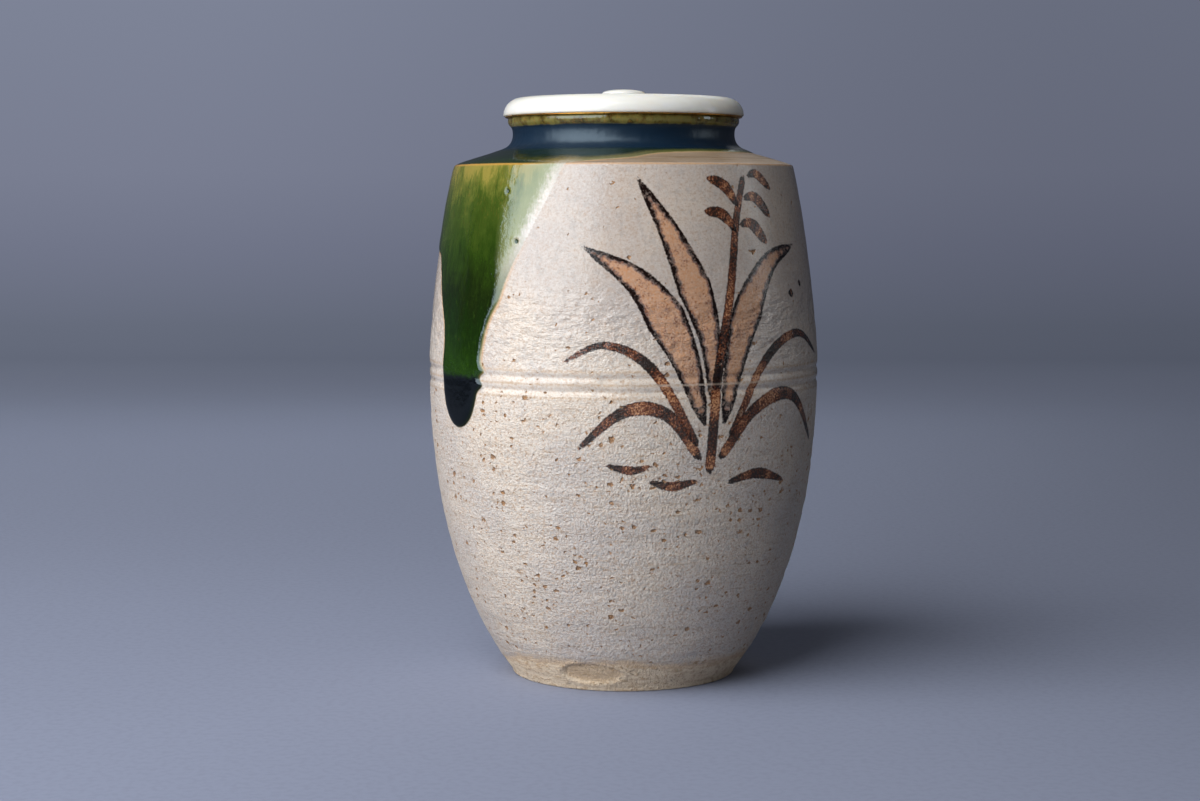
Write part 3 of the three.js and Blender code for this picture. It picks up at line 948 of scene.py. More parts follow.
@dataclass(frozen=True)
class Stoneware:
    """Finish of the jar: cream glaze, pits, bare clay at the foot and inside, and brushwork, with
    painted shade in the pits, the stamp's recess and the upper wall.

    Attributes:
        ridges: Millimetres down of the ridges beside the belly's grooves, the middle one first.
    """

    cream: CreamGlaze = CreamGlaze()
    # Painted shade: a grey that darkens the cream over the upper wall.
    upper: Colour = paint(232, 229, 228)
    streak: Colour = paint(178, 152, 122)
    shoulder_sand: Colour = paint(152, 128, 100)
    shoulder_line: Colour = paint(128, 102, 74)
    pit: Colour = paint(190, 138, 86)
    # Painted shade in the deepest part of the pits, also the colour of the bare clay's dark specks.
    painted_pit_shade_and_clay_speck: Colour = paint(84, 52, 30)
    halo: Colour = paint(206, 160, 106)
    crest: Colour = paint(206, 160, 112)
    ridge: Colour = paint(196, 160, 118)
    clay: Colour = paint(242, 222, 194)
    # Darker clay of the sand, also the painted shade in the stamp's recess.
    dark_clay_and_recess_shade: Colour = paint(206, 176, 140)
    flash: Colour = paint(206, 164, 118)
    wash: Colour = paint(208, 152, 108)
    brown: Colour = paint(122, 62, 34)
    ink: Colour = paint(32, 19, 15)
    ridges: tuple[float, float, float] = (45.4, 43.5, 47.3)
    refraction: float = 1.53
    sheen: Colour = (0.86, 0.94, 1.0, 1.0)

    def stroke(
        self, under: Tint, place: Socket, layer: int, mark: Mark, grain: Value, kept: Value
    ) -> tuple[Tint, Value]:
        """Lays one stored layer of brush marks over a colour.

        Args:
            under: Colour below.
            place: Place in millimetres.
            layer: Number of the stored layer.
            mark: Kind of mark in this layer.
            grain: Grain of the glaze that breaks the pigment up.
            kept: Share of the pigment that the turned ridges and the pits keep.

        Returns:
            Colour with the strokes, and where pigment lies thickly.
        """
        recipe = under.recipe
        inside, half, along = recipe.stored_vector(f"brush_{layer}")
        ragged = inside + grain.swing(0.5)
        bristles = recipe.vector((half - inside) * 2.2, along * 0.3, half * 3.0)
        bristle = recipe.noise(bristles, 1.0, 3.0, 0.6)
        pool = recipe.noise(place, 3.7, 3.0, 0.7)
        load = recipe.noise(recipe.vector(along * 0.17, half * 7.0, 1.3), 1.0, 1.0)
        body = ragged.rise(-0.06, 0.14) * kept
        uneven = grain.swing(1.4) + bristle.swing(0.8) + pool.swing(2.6)
        if mark is Mark.LEAF:
            rim = 1 - (ragged + bristle.swing(1.2) + load.swing(1.4)).rise(0.4, 1.15)
            settled = recipe.noise(place, 0.4, 3.0, 0.6) - 0.46
            dark = rim * (0.7 + load * 0.6) + uneven * 0.42 + bristle.swing(0.5) + settled * 1.2
            veil = body * (0.76 + grain.swing(1.2)).most(dark)
        else:
            rim = 1 - ragged.rise(0.1, 0.35)
            dark = load.swing(2.4) + uneven * 0.95 + rim * 0.2 + 0.66
            veil = body * 0.97
        pigment = recipe.mix(self.wash, self.brown, dark.rise(0.05, 0.5))
        return under.toward(pigment.toward(self.ink, dark.rise(0.4, 0.95)), veil), body * dark

    def material(self, form: JarForm) -> Material:
        """Builds the finish.

        Args:
            form: Turned form that gives the place of its arris.

        Returns:
            The material.
        """
        recipe = Recipe("stoneware")
        place = recipe.place()
        x, y, height = recipe.parts(place)
        names = ("down", "glazed", "green", "soft", "bare", "dent")
        down, glazed, green, soft, bare, dent = recipe.stored(*names)
        grain = recipe.noise(place, 3.2, 3.0, 0.65)
        lumps = recipe.noise(place, 1.0, 3.0, 0.6, flat=1.5)
        coarse = recipe.noise(place, 2.0, 3.0, 0.65)
        streaks = recipe.noise(recipe.stretched(place, 0.2, 0.2, 2.4), 1.0, 3.0, 0.6)
        dragged = recipe.noise(recipe.stretched(place, 0.46, 0.46, 0.85), 1.0, 3.0, 0.6)
        turned = recipe.noise(recipe.vector(x * 0.04, y * 0.04, down * 2.4), 1.0, 2.0)
        low = 1 - height.rise(32.0, 60.0)
        shoulder = down.rise(6.2, 7.6) * (1 - down.rise(form.arris - 0.6, form.arris))

        # Pits and dots where the glaze broke over sand, in crowds.
        wide = recipe.stretched(recipe.warped(place, 2.3, 0.45), 1.0, 1.0, 1.4)
        crowd = recipe.noise(place, 0.17, 2.0).rise(0.36, 0.64)
        pits = recipe.specks(wide, 0.64, 0.36 + crowd * 0.28, 0.03 + low * 0.85)
        dots = recipe.specks(wide, 1.15, 0.2 + crowd * 0.14, 0.1 + low * 0.6)
        pitted = pits.rise(0.02, 0.13).most(dots.rise(0.02, 0.1))

        # Rust round the green, on the arris and on the ridges beside the grooves.
        halo = (1 - (0 - green + grain.swing(0.3)).rise(0.1, 0.6)) * (1 - soft).most(0.0)
        crest = down.band(form.arris + grain.swing(0.3), 0.42)
        middle, upper, lower = self.ridges
        ridge = down.band(middle, 0.3).most(down.band(upper, 0.35)).most(down.band(lower, 0.35))
        colour = self.cream.tint(recipe, place, low * 0.35 + 0.64)
        # Painted shade: the cream is darkened and greyed from the belly up, fully from 64 mm.
        colour = colour.times(self.upper, height.rise(46.0, 64.0)).under(
            (self.streak, streaks.rise(0.54, 0.7) * (0.1 + low * 0.3)),
            (self.shoulder_sand, shoulder * (0.45 + streaks * 0.7)),
            (self.shoulder_line, shoulder * turned.rise(0.5, 0.66) * 0.5),
            (self.pit, pitted * (0.45 + lumps * 0.8)),
            # Painted shade: the deepest part of each pit is darkened.
            (self.painted_pit_shade_and_clay_speck, pits.rise(0.2, 0.5) * (0.2 + grain * 0.7)),
            (self.halo, halo * (1 - down.rise(43.0, 46.0)) * 0.7),
            (self.crest, crest * 0.75),
            (self.ridge, ridge * grain.rise(0.35, 0.6) * 0.6),
        )

        kept = (1 - down.band(middle, 0.28) * 0.6) * (1 - pitted * 0.5)
        marks: Number = 0.0
        for layer, mark in Brushwork.layers.items():
            colour, thick = self.stroke(colour, place, layer, mark, grain, kept)
            marks = thick.most(marks)

        # Bare clay below the glaze's lower edge and inside.
        edge = glazed + streaks.swing(2.4) + lumps.swing(1.6) + grain.swing(0.8)
        clay_share = (1 - edge.rise(-1.1, 0.9)).most(bare)
        sand = (lumps * 0.6 + grain * 0.4).rise(0.44, 0.66)
        body = recipe.mix(self.clay, self.dark_clay_and_recess_shade, sand).under(
            (self.flash, streaks.rise(0.5, 0.75) * 0.35),
            # Dark specks in the bare clay, in the colour also used for the pits' painted shade.
            (self.painted_pit_shade_and_clay_speck, recipe.specks(place, 0.6, 0.3, 0.3).rise(0.05, 0.16) * 0.6),
            (self.flash, edge.band(-0.6, 1.4) * 0.4),
            # Painted shade: the stamp's recess is darkened, more where it is deeper.
            (self.dark_clay_and_recess_shade, dent.rise(0.2, 0.9) * (0.35 + grain * 0.5)),
        )

        # Smooth and glossy between the grooves, rougher and more matt low down.
        smoothed = down.band(middle, 3.6)
        sandy = lumps.swing(0.14) + coarse.swing(0.26) + grain.swing(0.28)
        peel = sandy * (0.12 + low * 0.8) + dragged.swing(0.03 + height.band(54.0, 10.0) * 0.5)
        peel = peel + streaks.swing(low) * 0.07
        peel = peel + turned.swing(0.004 + low * 0.03 + shoulder * 0.3)
        relief = peel * (1 - smoothed * 0.75) - pits.rise(0.0, 0.3) * 0.34 - dots * 0.9
        relief = relief + grain.swing(clay_share) * 0.08 + marks * 0.01
        gloss = 0.085 + low * 0.265 + pitted * 0.3 + lumps.swing(0.08) + shoulder * 0.4
        gloss = gloss * (1 - smoothed * 0.72)
        rough = gloss + (0.86 - gloss) * clay_share
        colour = colour.toward(body, clay_share)
        return recipe.close(colour, rough, relief, IOR=self.refraction, Specular_Tint=self.sheen)


@dataclass(frozen=True)
class GreenGlaze:
    """Copper-green glaze: amber where it is thin, navy where it pools and black in the tip.

    Attributes:
        fall: Colours from the arris down to the tip of the run.
        run: Millimetres from the arris down to that tip.
    """

    cream: CreamGlaze = CreamGlaze()
    amber: Colour = paint(178, 138, 66)
    olive: Colour = paint(132, 124, 66)
    olive_dark: Colour = paint(70, 58, 22)
    lip_rust: Colour = paint(148, 104, 52)
    navy: Colour = paint(15, 36, 56)
    shoulder: Colour = paint(26, 42, 24)
    shoulder_light: Colour = paint(46, 66, 28)
    shoulder_edge: Colour = paint(74, 84, 36)
    crest: Colour = paint(204, 154, 76)
    thread: Colour = paint(92, 124, 40)
    pale: Colour = paint(144, 147, 98)
    tan: Colour = paint(150, 132, 82)
    straw: Colour = paint(170, 148, 92)
    fringe: Colour = paint(74, 88, 36)
    dark_fringe: Colour = paint(26, 34, 16)
    hole: Colour = paint(46, 56, 14)
    iron: Colour = paint(84, 62, 28)
    black: Colour = paint(9, 12, 15)
    fall: Stops = (
        (0.0, paint(146, 134, 62)),
        (0.06, paint(110, 114, 46)),
        (0.16, paint(66, 84, 26)),
        (0.34, paint(42, 64, 13)),
        (0.5, paint(24, 37, 8)),
        (0.62, paint(22, 42, 8)),
        (0.84, paint(34, 62, 10)),
        (1.0, paint(12, 22, 7)),
    )
    run: float = 38.4
    lip_foot: tuple[float, float] = (1.3, 1.65)
    neck_foot: tuple[float, float] = (5.6, 7.4)
    tip_start: tuple[float, float] = (44.4, 45.3)
    refraction: float = 1.62
    sheen: Colour = (0.68, 0.87, 1.0, 1.0)

    def material(self, form: JarForm) -> Material:
        """Builds the finish.

        Args:
            form: Turned form that the glaze lies on.

        Returns:
            The material.
        """
        recipe = Recipe("green_glaze")
        place = recipe.place()
        down, inside, soft, pin = recipe.stored("down", "green", "soft", "pin")
        x, y, _ = recipe.parts(place)
        round_way = recipe.vector_maths("NORMALIZE", recipe.vector(x, y, 0.0))
        fallen = recipe.vector(0.0, 0.0, down * 0.2)
        flow = recipe.vector_maths("ADD", recipe.stretched(round_way, 27, 27, 0), fallen)
        streaks = recipe.noise(flow, 1.1, 3.0, 0.6)
        threads = recipe.noise(flow, 3.6, 2.0, 0.6, flat=1.4)
        mottle = recipe.noise(place, 1.6, 3.0, 0.6)
        grain = recipe.noise(place, 4.0, 2.0, 0.6)
        pools = recipe.noise(place, 0.3, 2.0, flat=0.7)
        blotch = recipe.noise(place, 0.8, 3.0, 0.55)
        lumps = recipe.noise(place, 1.0, 3.0, 0.6, flat=1.5)
        sound = 1 - down.rise(43.0, 46.0)

        # Wall and run, by how far down the glaze has flowed.
        share = (down - form.arris) / self.run + streaks.swing(0.22) + threads.swing(0.2)
        share = share + mottle.swing(0.08) + pools.swing(0.3)
        tip = (down + mottle.swing(1.6) + threads.swing(1.0)).rise(*self.tip_start)
        wall = recipe.ramp(share.most(0.0), self.fall).under(
            (self.amber, threads.rise(0.56, 0.74) * (1 - share.rise(0.05, 0.4)) * 0.28),
            (self.thread, threads.rise(0.6, 0.8) * share.rise(0.1, 0.5) * 0.25),
            (self.black, tip),
        )

        # Shoulder, neck and lip above the arris.
        light = down.rise(9.0, 13.4) * streaks
        neck = recipe.mix(self.shoulder, self.shoulder_light, light).under(
            (self.shoulder_edge, (1 - inside.rise(0.2, 1.6)) * 0.7),
            (self.navy, 1 - (down + mottle.swing(1.2)).rise(*self.neck_foot)),
        )
        lip = recipe.mix(self.olive, self.olive_dark, blotch.rise(0.4, 0.64)).under(
            (self.amber, (mottle * 0.6 + grain * 0.4).rise(0.48, 0.66) * 0.5),
            (self.lip_rust, (1 - down.rise(-0.9, 0.15)) * 0.6),
        )
        border = down + blotch.swing(0.5) + grain.swing(0.15)
        glaze = lip.under(
            (neck, border.rise(*self.lip_foot)),
            (wall, down.rise(form.arris - 0.3, form.arris + 0.25)),
            (self.crest, down.band(form.arris + grain.swing(0.25), 0.4) * 0.85),
        )

        # Thin edge, crisp where soft is 0 and fading out over the cream where it is 1.
        crisp = 1 - soft
        beside = down.rise(form.arris - 0.4, form.arris + 0.4)
        faded = recipe.mix(self.tan, self.pale, beside)
        veil = (inside + threads.swing(1.8) + mottle.swing(2.2)).rise(0.2, 2.6)
        body = (inside + streaks.swing(soft) * 2.0).rise(0.1 + soft * 1.3, 0.55 + soft * 6.6)
        colour = self.cream.tint(recipe, place, 0.35).under(
            (self.straw, inside.rise(-0.15, 0.1) * crisp),
            (self.fringe, inside.rise(0.0, 0.3) * crisp),
            (self.dark_fringe, (1 - sound) * inside.rise(-0.1, 0.1)),
            (faded, veil * (soft * 1.6).least(1.0)),
            (glaze, body),
            (self.hole, 1 - (pin + grain.swing(0.1)).rise(0.28, 0.45)),
            (self.iron, recipe.specks(place, 0.5, 0.3, 0.12).rise(0.03, 0.12) * 0.5),
        )

        bare = 1 - body
        ripple = recipe.noise(place, 0.9, 3.0, 0.55).swing(0.05) + streaks.swing(0.03)
        relief = ripple + grain.swing(0.006) + mottle.swing(0.012) * sound
        relief = relief + lumps.swing(bare) * 0.03
        satin = down.rise(1.1, 1.6) * (1 - down.rise(5.6, 7.2))
        rough = 0.05 + bare * 0.1 + satin * 0.32 + mottle.swing(0.04)
        return recipe.close(colour, rough, relief, IOR=self.refraction, Specular_Tint=self.sheen)


@dataclass(frozen=True)
class IvoryPolish:
    """Smooth polished ivory colour with a faint lengthwise grain.

    Attributes:
        depth: How deep light gets into it, in metres.
        spread: Shares of that depth that red, green and blue light reach.
    """

    pale: Colour = paint(246, 245, 238)
    warm: Colour = paint(239, 235, 222)
    edge: Colour = paint(222, 200, 160)
    dust: Colour = paint(168, 140, 104)
    depth: float = 0.002
    spread: tuple[float, float, float] = (1.0, 0.9, 0.75)
    refraction: float = 1.46

    def material(self) -> Material:
        """Builds the finish.

        Returns:
            The material.
        """
        recipe = Recipe("ivory")
        place = recipe.place()
        grain = recipe.noise(recipe.stretched(place, 0.05, 0.9, 0.5), 1.0, 3.0, 0.55)
        clouds = recipe.noise(place, 0.07, 2.0)
        x, y, height = recipe.parts(place)
        rings = recipe.vector((x * x + y * y) ** 0.5 * 5.0, height * 3.0, 0.0)
        turned = recipe.noise(rings, 1.0, 2.0)
        share = grain.rise(0.42, 0.7) * 0.4 + clouds.rise(0.4, 0.7) * 0.25
        colour = recipe.mix(self.pale, self.warm, share).under(
            (self.edge, (1 - height.rise(85.6, 86.3)) * 0.45),
            (self.dust, recipe.specks(place, 0.35, 0.12, 0.2).rise(0.01, 0.06) * 0.4),
        )
        relief = turned.swing(0.004) + grain.swing(0.003)
        rough = 0.2 + grain.swing(0.08) + clouds.swing(0.1)
        return recipe.close(
            colour,
            rough,
            relief,
            IOR=self.refraction,
            Subsurface_Weight=0.6,
            Subsurface_Radius=self.spread,
            Subsurface_Scale=self.depth,
        )


@dataclass(frozen=True)
class GoldLeaf:
    """Beaten gold leaf laid in overlapping squares, worn through here and there.

    Attributes:
        size: Red-brown size that the leaf is laid in, seen where it is worn.
    """

    gold: Colour = paint(226, 174, 84)
    deep: Colour = paint(190, 128, 48)
    size: Colour = paint(128, 62, 36)
    square: float = 9.5

    def material(self) -> Material:
        """Builds the finish.

        Returns:
            The material.
        """
        recipe = Recipe("gold_leaf")
        place = recipe.place()
        x, y, _ = recipe.parts(place)
        crinkle = recipe.noise(place, 1.3, 4.0, 0.65)
        clouds = recipe.noise(place, 0.25, 3.0)
        seams: Number = 0.0
        for way in (x + y * 0.12, y - x * 0.1):
            wavy = (way + crinkle.swing(0.5)) / self.square
            seam = abs(recipe.maths("FRACT", wavy + 20.3) - 0.5).band(0.0, 0.03)
            seams = seam.most(seams)
        wear = recipe.specks(place, 0.55, 0.45, 0.16).rise(0.04, 0.14)
        colour = recipe.mix(self.gold, self.deep, clouds.rise(0.35, 0.7)).under(
            (self.deep, seams * 0.7),
            (self.size, wear * 0.8),
        )
        rough = 0.3 + crinkle.swing(0.3) + wear * 0.3
        relief = crinkle.swing(0.05) + seams * 0.02
        return recipe.close(colour, rough, relief, Metallic=1 - wear * 0.85)


@dataclass(frozen=True)
class StudioPaper:
    """Plain pale blue-grey paper, lighter further back and darker towards the right as painted
    light and shade, which the camera sees a little out of the light further back.

    Attributes:
        start: Metres from the jar where the distance starts.
        reach: Metres over which the distance runs through its colours.
        bounce: Share of the light that it throws back on the jar from the right.
        mirrored: Share of the distance's light that reflections show.
    """

    near: Colour = paint(147, 155, 179)
    # Paper further back, lighter than near as painted light.
    middle: Colour = paint(176, 186, 214)
    fibre: Colour = paint(226, 226, 226)
    # Painted shade of the distance on the right.
    right: Colour = paint(214, 214, 215)
    start: float = 0.3
    reach: float = 1.0
    far: Stops = (
        (0.0, paint(116, 123, 142)),
        (0.18, paint(108, 114, 131)),
        (0.38, paint(99, 105, 121)),
        (0.5, paint(102, 108, 124)),
        (0.66, paint(113, 118, 137)),
        (0.78, paint(121, 126, 145)),
        (1.0, paint(125, 131, 150)),
    )
    # Share of the paper's colour kept on the right, as painted shade.
    right_light: float = 0.57
    bounce: float = 0.35
    mirrored: float = 0.26

    def material(self) -> Material:
        """Builds the finish.

        Returns:
            The material.
        """
        recipe = Recipe("studio_paper")
        seat = recipe.node("TexCoord", {}).outputs["Object"]
        x, y, z = recipe.parts(seat)
        path = recipe.node("LightPath", {}).outputs
        camera, glossy = (Value(recipe, path[name]) for name in ("Is Camera Ray", "Is Glossy Ray"))
        # Painted shade darkens the paper towards the right, and painted light makes it lighter
        # further back.
        shade = recipe.mix(grey(1.0), grey(self.right_light), x.rise(-0.1, 0.35))
        fibres = recipe.noise(seat, 900.0, 2.0).rise(0.4, 0.7) * 0.25
        paper = recipe.mix(self.near, self.middle, y.rise(0.1, 0.45)).times(shade)
        paper = paper.times(self.fibre, fibres)
        paper = paper.times(grey(self.bounce), (1 - camera) * x.rise(-0.02, 0.1).most(glossy))
        floor = recipe.node("BsdfPrincipled", {"Base Color": paper, "Roughness": 0.9})
        away = abs(y).most(abs(x) - 0.15)
        far = recipe.ramp((away + z - self.start) / self.reach, self.far)
        # Painted shade: the distance is darker towards the right.
        far = far.times(self.right, x.rise(-0.32, 0.32)).times(grey(self.mirrored), glossy)
        glow = recipe.node("Emission", {"Color": far, "Strength": 1.0})
        share = away.rise(0.3, 0.6).most(z.rise(0.0, 0.05)) * camera.most(glossy)
        mixed = recipe.node("MixShader", {0: share, 1: floor.outputs[0], 2: glow.outputs[0]})
        recipe.node("OutputMaterial", {"Surface": mixed.outputs[0]})
        return recipe.owner


@dataclass
class Jar:
    """Thrown stoneware jar with its turned grooves, stamp recess, bare foot and string-cut base.

    Attributes:
        under_green: Millimetres down that no green passes.
        no_green: Millimetres inside the green's edge that stand for none below there.
        mouth_green: How far over the lip the green reaches.
        clay_line: Turns with the heights where the cream glaze ends.
        drag_marks: How many marks trimming left, drawn with their half length, width and depth.
    """

    form: JarForm
    edge: GlazeEdge
    columns: int = 335
    skin_inset: float = 0.08
    groove_heights: tuple[float, float] = (47.8, 45.8)
    groove_depth: float = 0.2
    groove_spread: float = 0.4
    stamp_turn: float = -14.4
    stamp_height: float = 2.8
    stamp_half: tuple[float, float] = (4.8, 2.0)
    stamp_depth: float = 0.44
    stamp_rim: float = 0.1
    bed_depth: float = 0.3
    under_green: float = 60.0
    no_green: float = -20.0
    mouth_green: float = 3.2
    clay_step: float = 0.08
    clay_line: tuple[tuple[float, float], ...] = (
        (-180, 3.4), (-120, 2.4), (-90, 2.2), (-50, 4.7), (-27, 5.0), (-1, 5.2),
        (24, 4.8), (53, 4.5), (100, 3.6), (150, 4.2), (180, 3.4),
    )
    line_waves: tuple[Unevenness, ...] = (
        Unevenness(21, 28, 9.0, 0.35),
        Unevenness(22, 90, 9.0, 0.15),
    )
    rings: Unevenness = Unevenness(11, 3, 1.7)
    fine_rings: Unevenness = Unevenness(12, 26, 0.8)
    lumps: Unevenness = Unevenness(13, 9, 11.0, 0.05)
    inner_rings: Unevenness = Unevenness(14, 4, 3.4, 0.14)
    drag_marks: int = 210
    drag_seed: int = 31
    drag_half: tuple[float, float] = (0.6, 2.6)
    drag_tall: tuple[float, float] = (0.3, 0.55)
    drag_deep: tuple[float, float] = (0.06, 0.16)
    string_pitch: float = 1.3
    string_off_centre: float = 5.0
    string_depth: float = 0.13

    def throwing(self, turn: Array, down: Array) -> Array:
        """Offsets that the thrower's fingers leave, shared by the clay and the glaze on it.

        Args:
            turn: Degrees from the front.
            down: Millimetres down the outside.

        Returns:
            Millimetres out of the clay.
        """
        lower = smooth_share(down, 30.0, 70.0)
        rings = self.rings.at(turn, down) * (0.02 + 0.035 * lower)
        fine = self.fine_rings.at(turn, down) * (0.008 + 0.02 * lower)
        return (rings + fine + self.lumps.at(turn, down) - 0.03) * smooth_share(down, 6.5, 16.0)

    def glazed_above(self, turn: Array, down: Array) -> Array:
        """Millimetres above the clay line, negative on the bare foot.

        Args:
            turn: Degrees from the front.
            down: Millimetres down the outside.

        Returns:
            Millimetres along the wall.
        """
        line = np.interp(turn, *np.array(self.clay_line).T)
        line += sum(waves.at(turn) for waves in self.line_waves)
        heights = np.linspace(0, 12, 61)
        return np.interp(line, heights, [self.form.down_at(height) for height in heights]) - down

    def pressed(self, turn: Array, down: Array) -> Array:
        """Offset of the stamp's recess and of the clay that it pushed up round its rim.

        Args:
            turn: Degrees from the front.
            down: Millimetres down the outside.

        Returns:
            Millimetres out of the clay.
        """
        across = np.radians(short_way(turn - self.stamp_turn)) * self.form.point(down)[:, 0]
        along = down - self.form.down_at(self.stamp_height)
        oval = np.hypot(across / self.stamp_half[0], along / self.stamp_half[1])
        away = np.hypot(across, along) * (1 - 1 / np.maximum(oval, 0.05))
        floor = -self.stamp_depth * (1 - smooth_share(away, -0.45, 0.0))
        floor *= 1.0 - 0.25 * smooth_share(across, -3.0, 4.0)
        return floor + self.stamp_rim * hump(away, 0.35, 0.3)

    def gouged(self, turn: Array, down: Array) -> Array:
        """Offset of the short level drag marks and pits that trimming left, most of them low down.

        Args:
            turn: Degrees from the front.
            down: Millimetres down the outside.

        Returns:
            Millimetres out of the clay.
        """
        chance = np.random.default_rng(self.drag_seed)
        radius = self.form.point(down)[:, 0]
        depth = np.zeros(len(turn))
        for _ in range(self.drag_marks):
            centre = 90 - 62 * chance.random() ** 1.5
            spin, half = chance.uniform(-180, 180), chance.uniform(*self.drag_half)
            tall, deep = chance.uniform(*self.drag_tall), chance.uniform(*self.drag_deep)
            near = np.abs(down - centre) < 2.5 * tall
            across = np.radians(short_way(turn[near] - spin)) * radius[near]
            mark = deep * hump(across, 0, half) * hump(down[near], centre, tall)
            depth[near] = np.maximum(depth[near], mark)
        return -depth

    def skin(self, turn: Array, down: Array, green: Array) -> Array:
        """Offset of the clay and its cream glaze from the turned form.

        Args:
            turn: Degrees from the front.
            down: Millimetres down the outside.
            green: Millimetres inside the edge of the green glaze.

        Returns:
            Millimetres out of the clay.
        """
        form = self.form
        outside = (down >= 0) & (down <= form.foot)
        offset = np.where(outside, -self.skin_inset + self.throwing(turn, down), 0.0)
        for height in self.groove_heights:
            offset -= self.groove_depth * hump(down, form.down_at(height), self.groove_spread)
        glazed = self.glazed_above(turn, down)
        step = -self.clay_step * (1 - smooth_share(glazed, -0.5, 0.5))
        step += 0.03 * hump(glazed, 0.5, 0.2**0.5)
        low = smooth_share(down, 80.0, 84.0) * (1 - smooth_share(down, form.foot - 0.6, form.foot))
        offset += np.where(outside, (step + self.pressed(turn, down)) * low, 0.0)
        bare = (1 - smooth_share(green, -1.5, 0.0)) * smooth_share(down, 16.0, 24.0) * outside
        offset += self.gouged(turn, down) * bare
        bed = self.bed_depth * smooth_share(green, 0.6, 1.4) * smooth_share(down, -3.4, -2.6)
        offset -= bed * (down < self.under_green)
        floor = form.downs[0]
        inside = smooth_share(-down, 6.0, 14.0) * smooth_share(down, floor + 0.1, floor + 12.0)
        return offset + inside * self.inner_rings.at(turn, down)

    def string_marks(self, turn: Array, down: Array) -> Array:
        """How far the string's curved marks rise into the base.

        Args:
            turn: Degrees from the front.
            down: Millimetres down the outside.

        Returns:
            Millimetres up.
        """
        x, y, _ = around_axis(self.form.point(down), turn).T
        away = np.hypot(x - self.string_off_centre, y + self.string_off_centre / 2)
        swirl = np.degrees(np.arctan2(y + 3, x - self.string_off_centre)) / 360
        marks = 0.5 + 0.5 * np.cos(2 * math.pi * (away / self.string_pitch - swirl))
        under = smooth_share(down, self.form.foot + 0.8, self.form.foot + 2.4)
        return self.string_depth * marks**1.6 * under

    def build(self) -> Piece:
        """Builds and dresses the jar.

        Returns:
            The piece, in place of the solid jar.
        """
        form = self.form
        # The rows lie closest at the arris, round the grooves and at the foot.
        plan = (
            (-4.0, 3.2),
            (0.0, 0.36),
            (6.4, 0.8),
            (form.arris - 0.8, 0.52),
            (form.arris + 0.8, 0.22),
            (43.0, 0.52),
            (48.0, 0.21),
            (86.0, 0.5),
            (form.foot, 0.26),
            (float(form.downs[-1]), 0.55),
        )
        downs = rows_along(plan, float(form.downs[0]))
        made, down = spun(form.point(downs), downs, self.columns)
        turn = turns_of(made)
        green, soft = self.edge.reach(turn, down)
        green = np.where(down > self.under_green, self.no_green, green)
        green = np.where(down < 0, np.minimum(green, down + self.mouth_green), green)
        points = form.point(down, self.skin(turn, down, green))
        points[:, 0] = np.maximum(points[:, 0], 0.0)
        points[:, 1] = np.clip(points[:, 1] + self.string_marks(turn, down), 0.0, form.lip_height)
        in_mouth = smooth_share(-down, 3.0, 4.5)
        stored = {
            "down": down,
            "green": green,
            "soft": soft,
            "bare": np.maximum(in_mouth, smooth_share(down, form.foot - 0.3, form.foot)),
            "glazed": self.glazed_above(turn, down),
            # How deep the stamp's recess is, which sets its painted shade.
            "dent": np.clip(-self.pressed(turn, down) / self.stamp_depth, 0, 1),
            **Brushwork().laid(form, turn, down),
        }
        finish = Stoneware().material(form)
        piece = shown("thrown_jar", made, around_axis(points, turn), stored, finish)
        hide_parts("jar_body")
        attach(piece, "jar")
        return piece


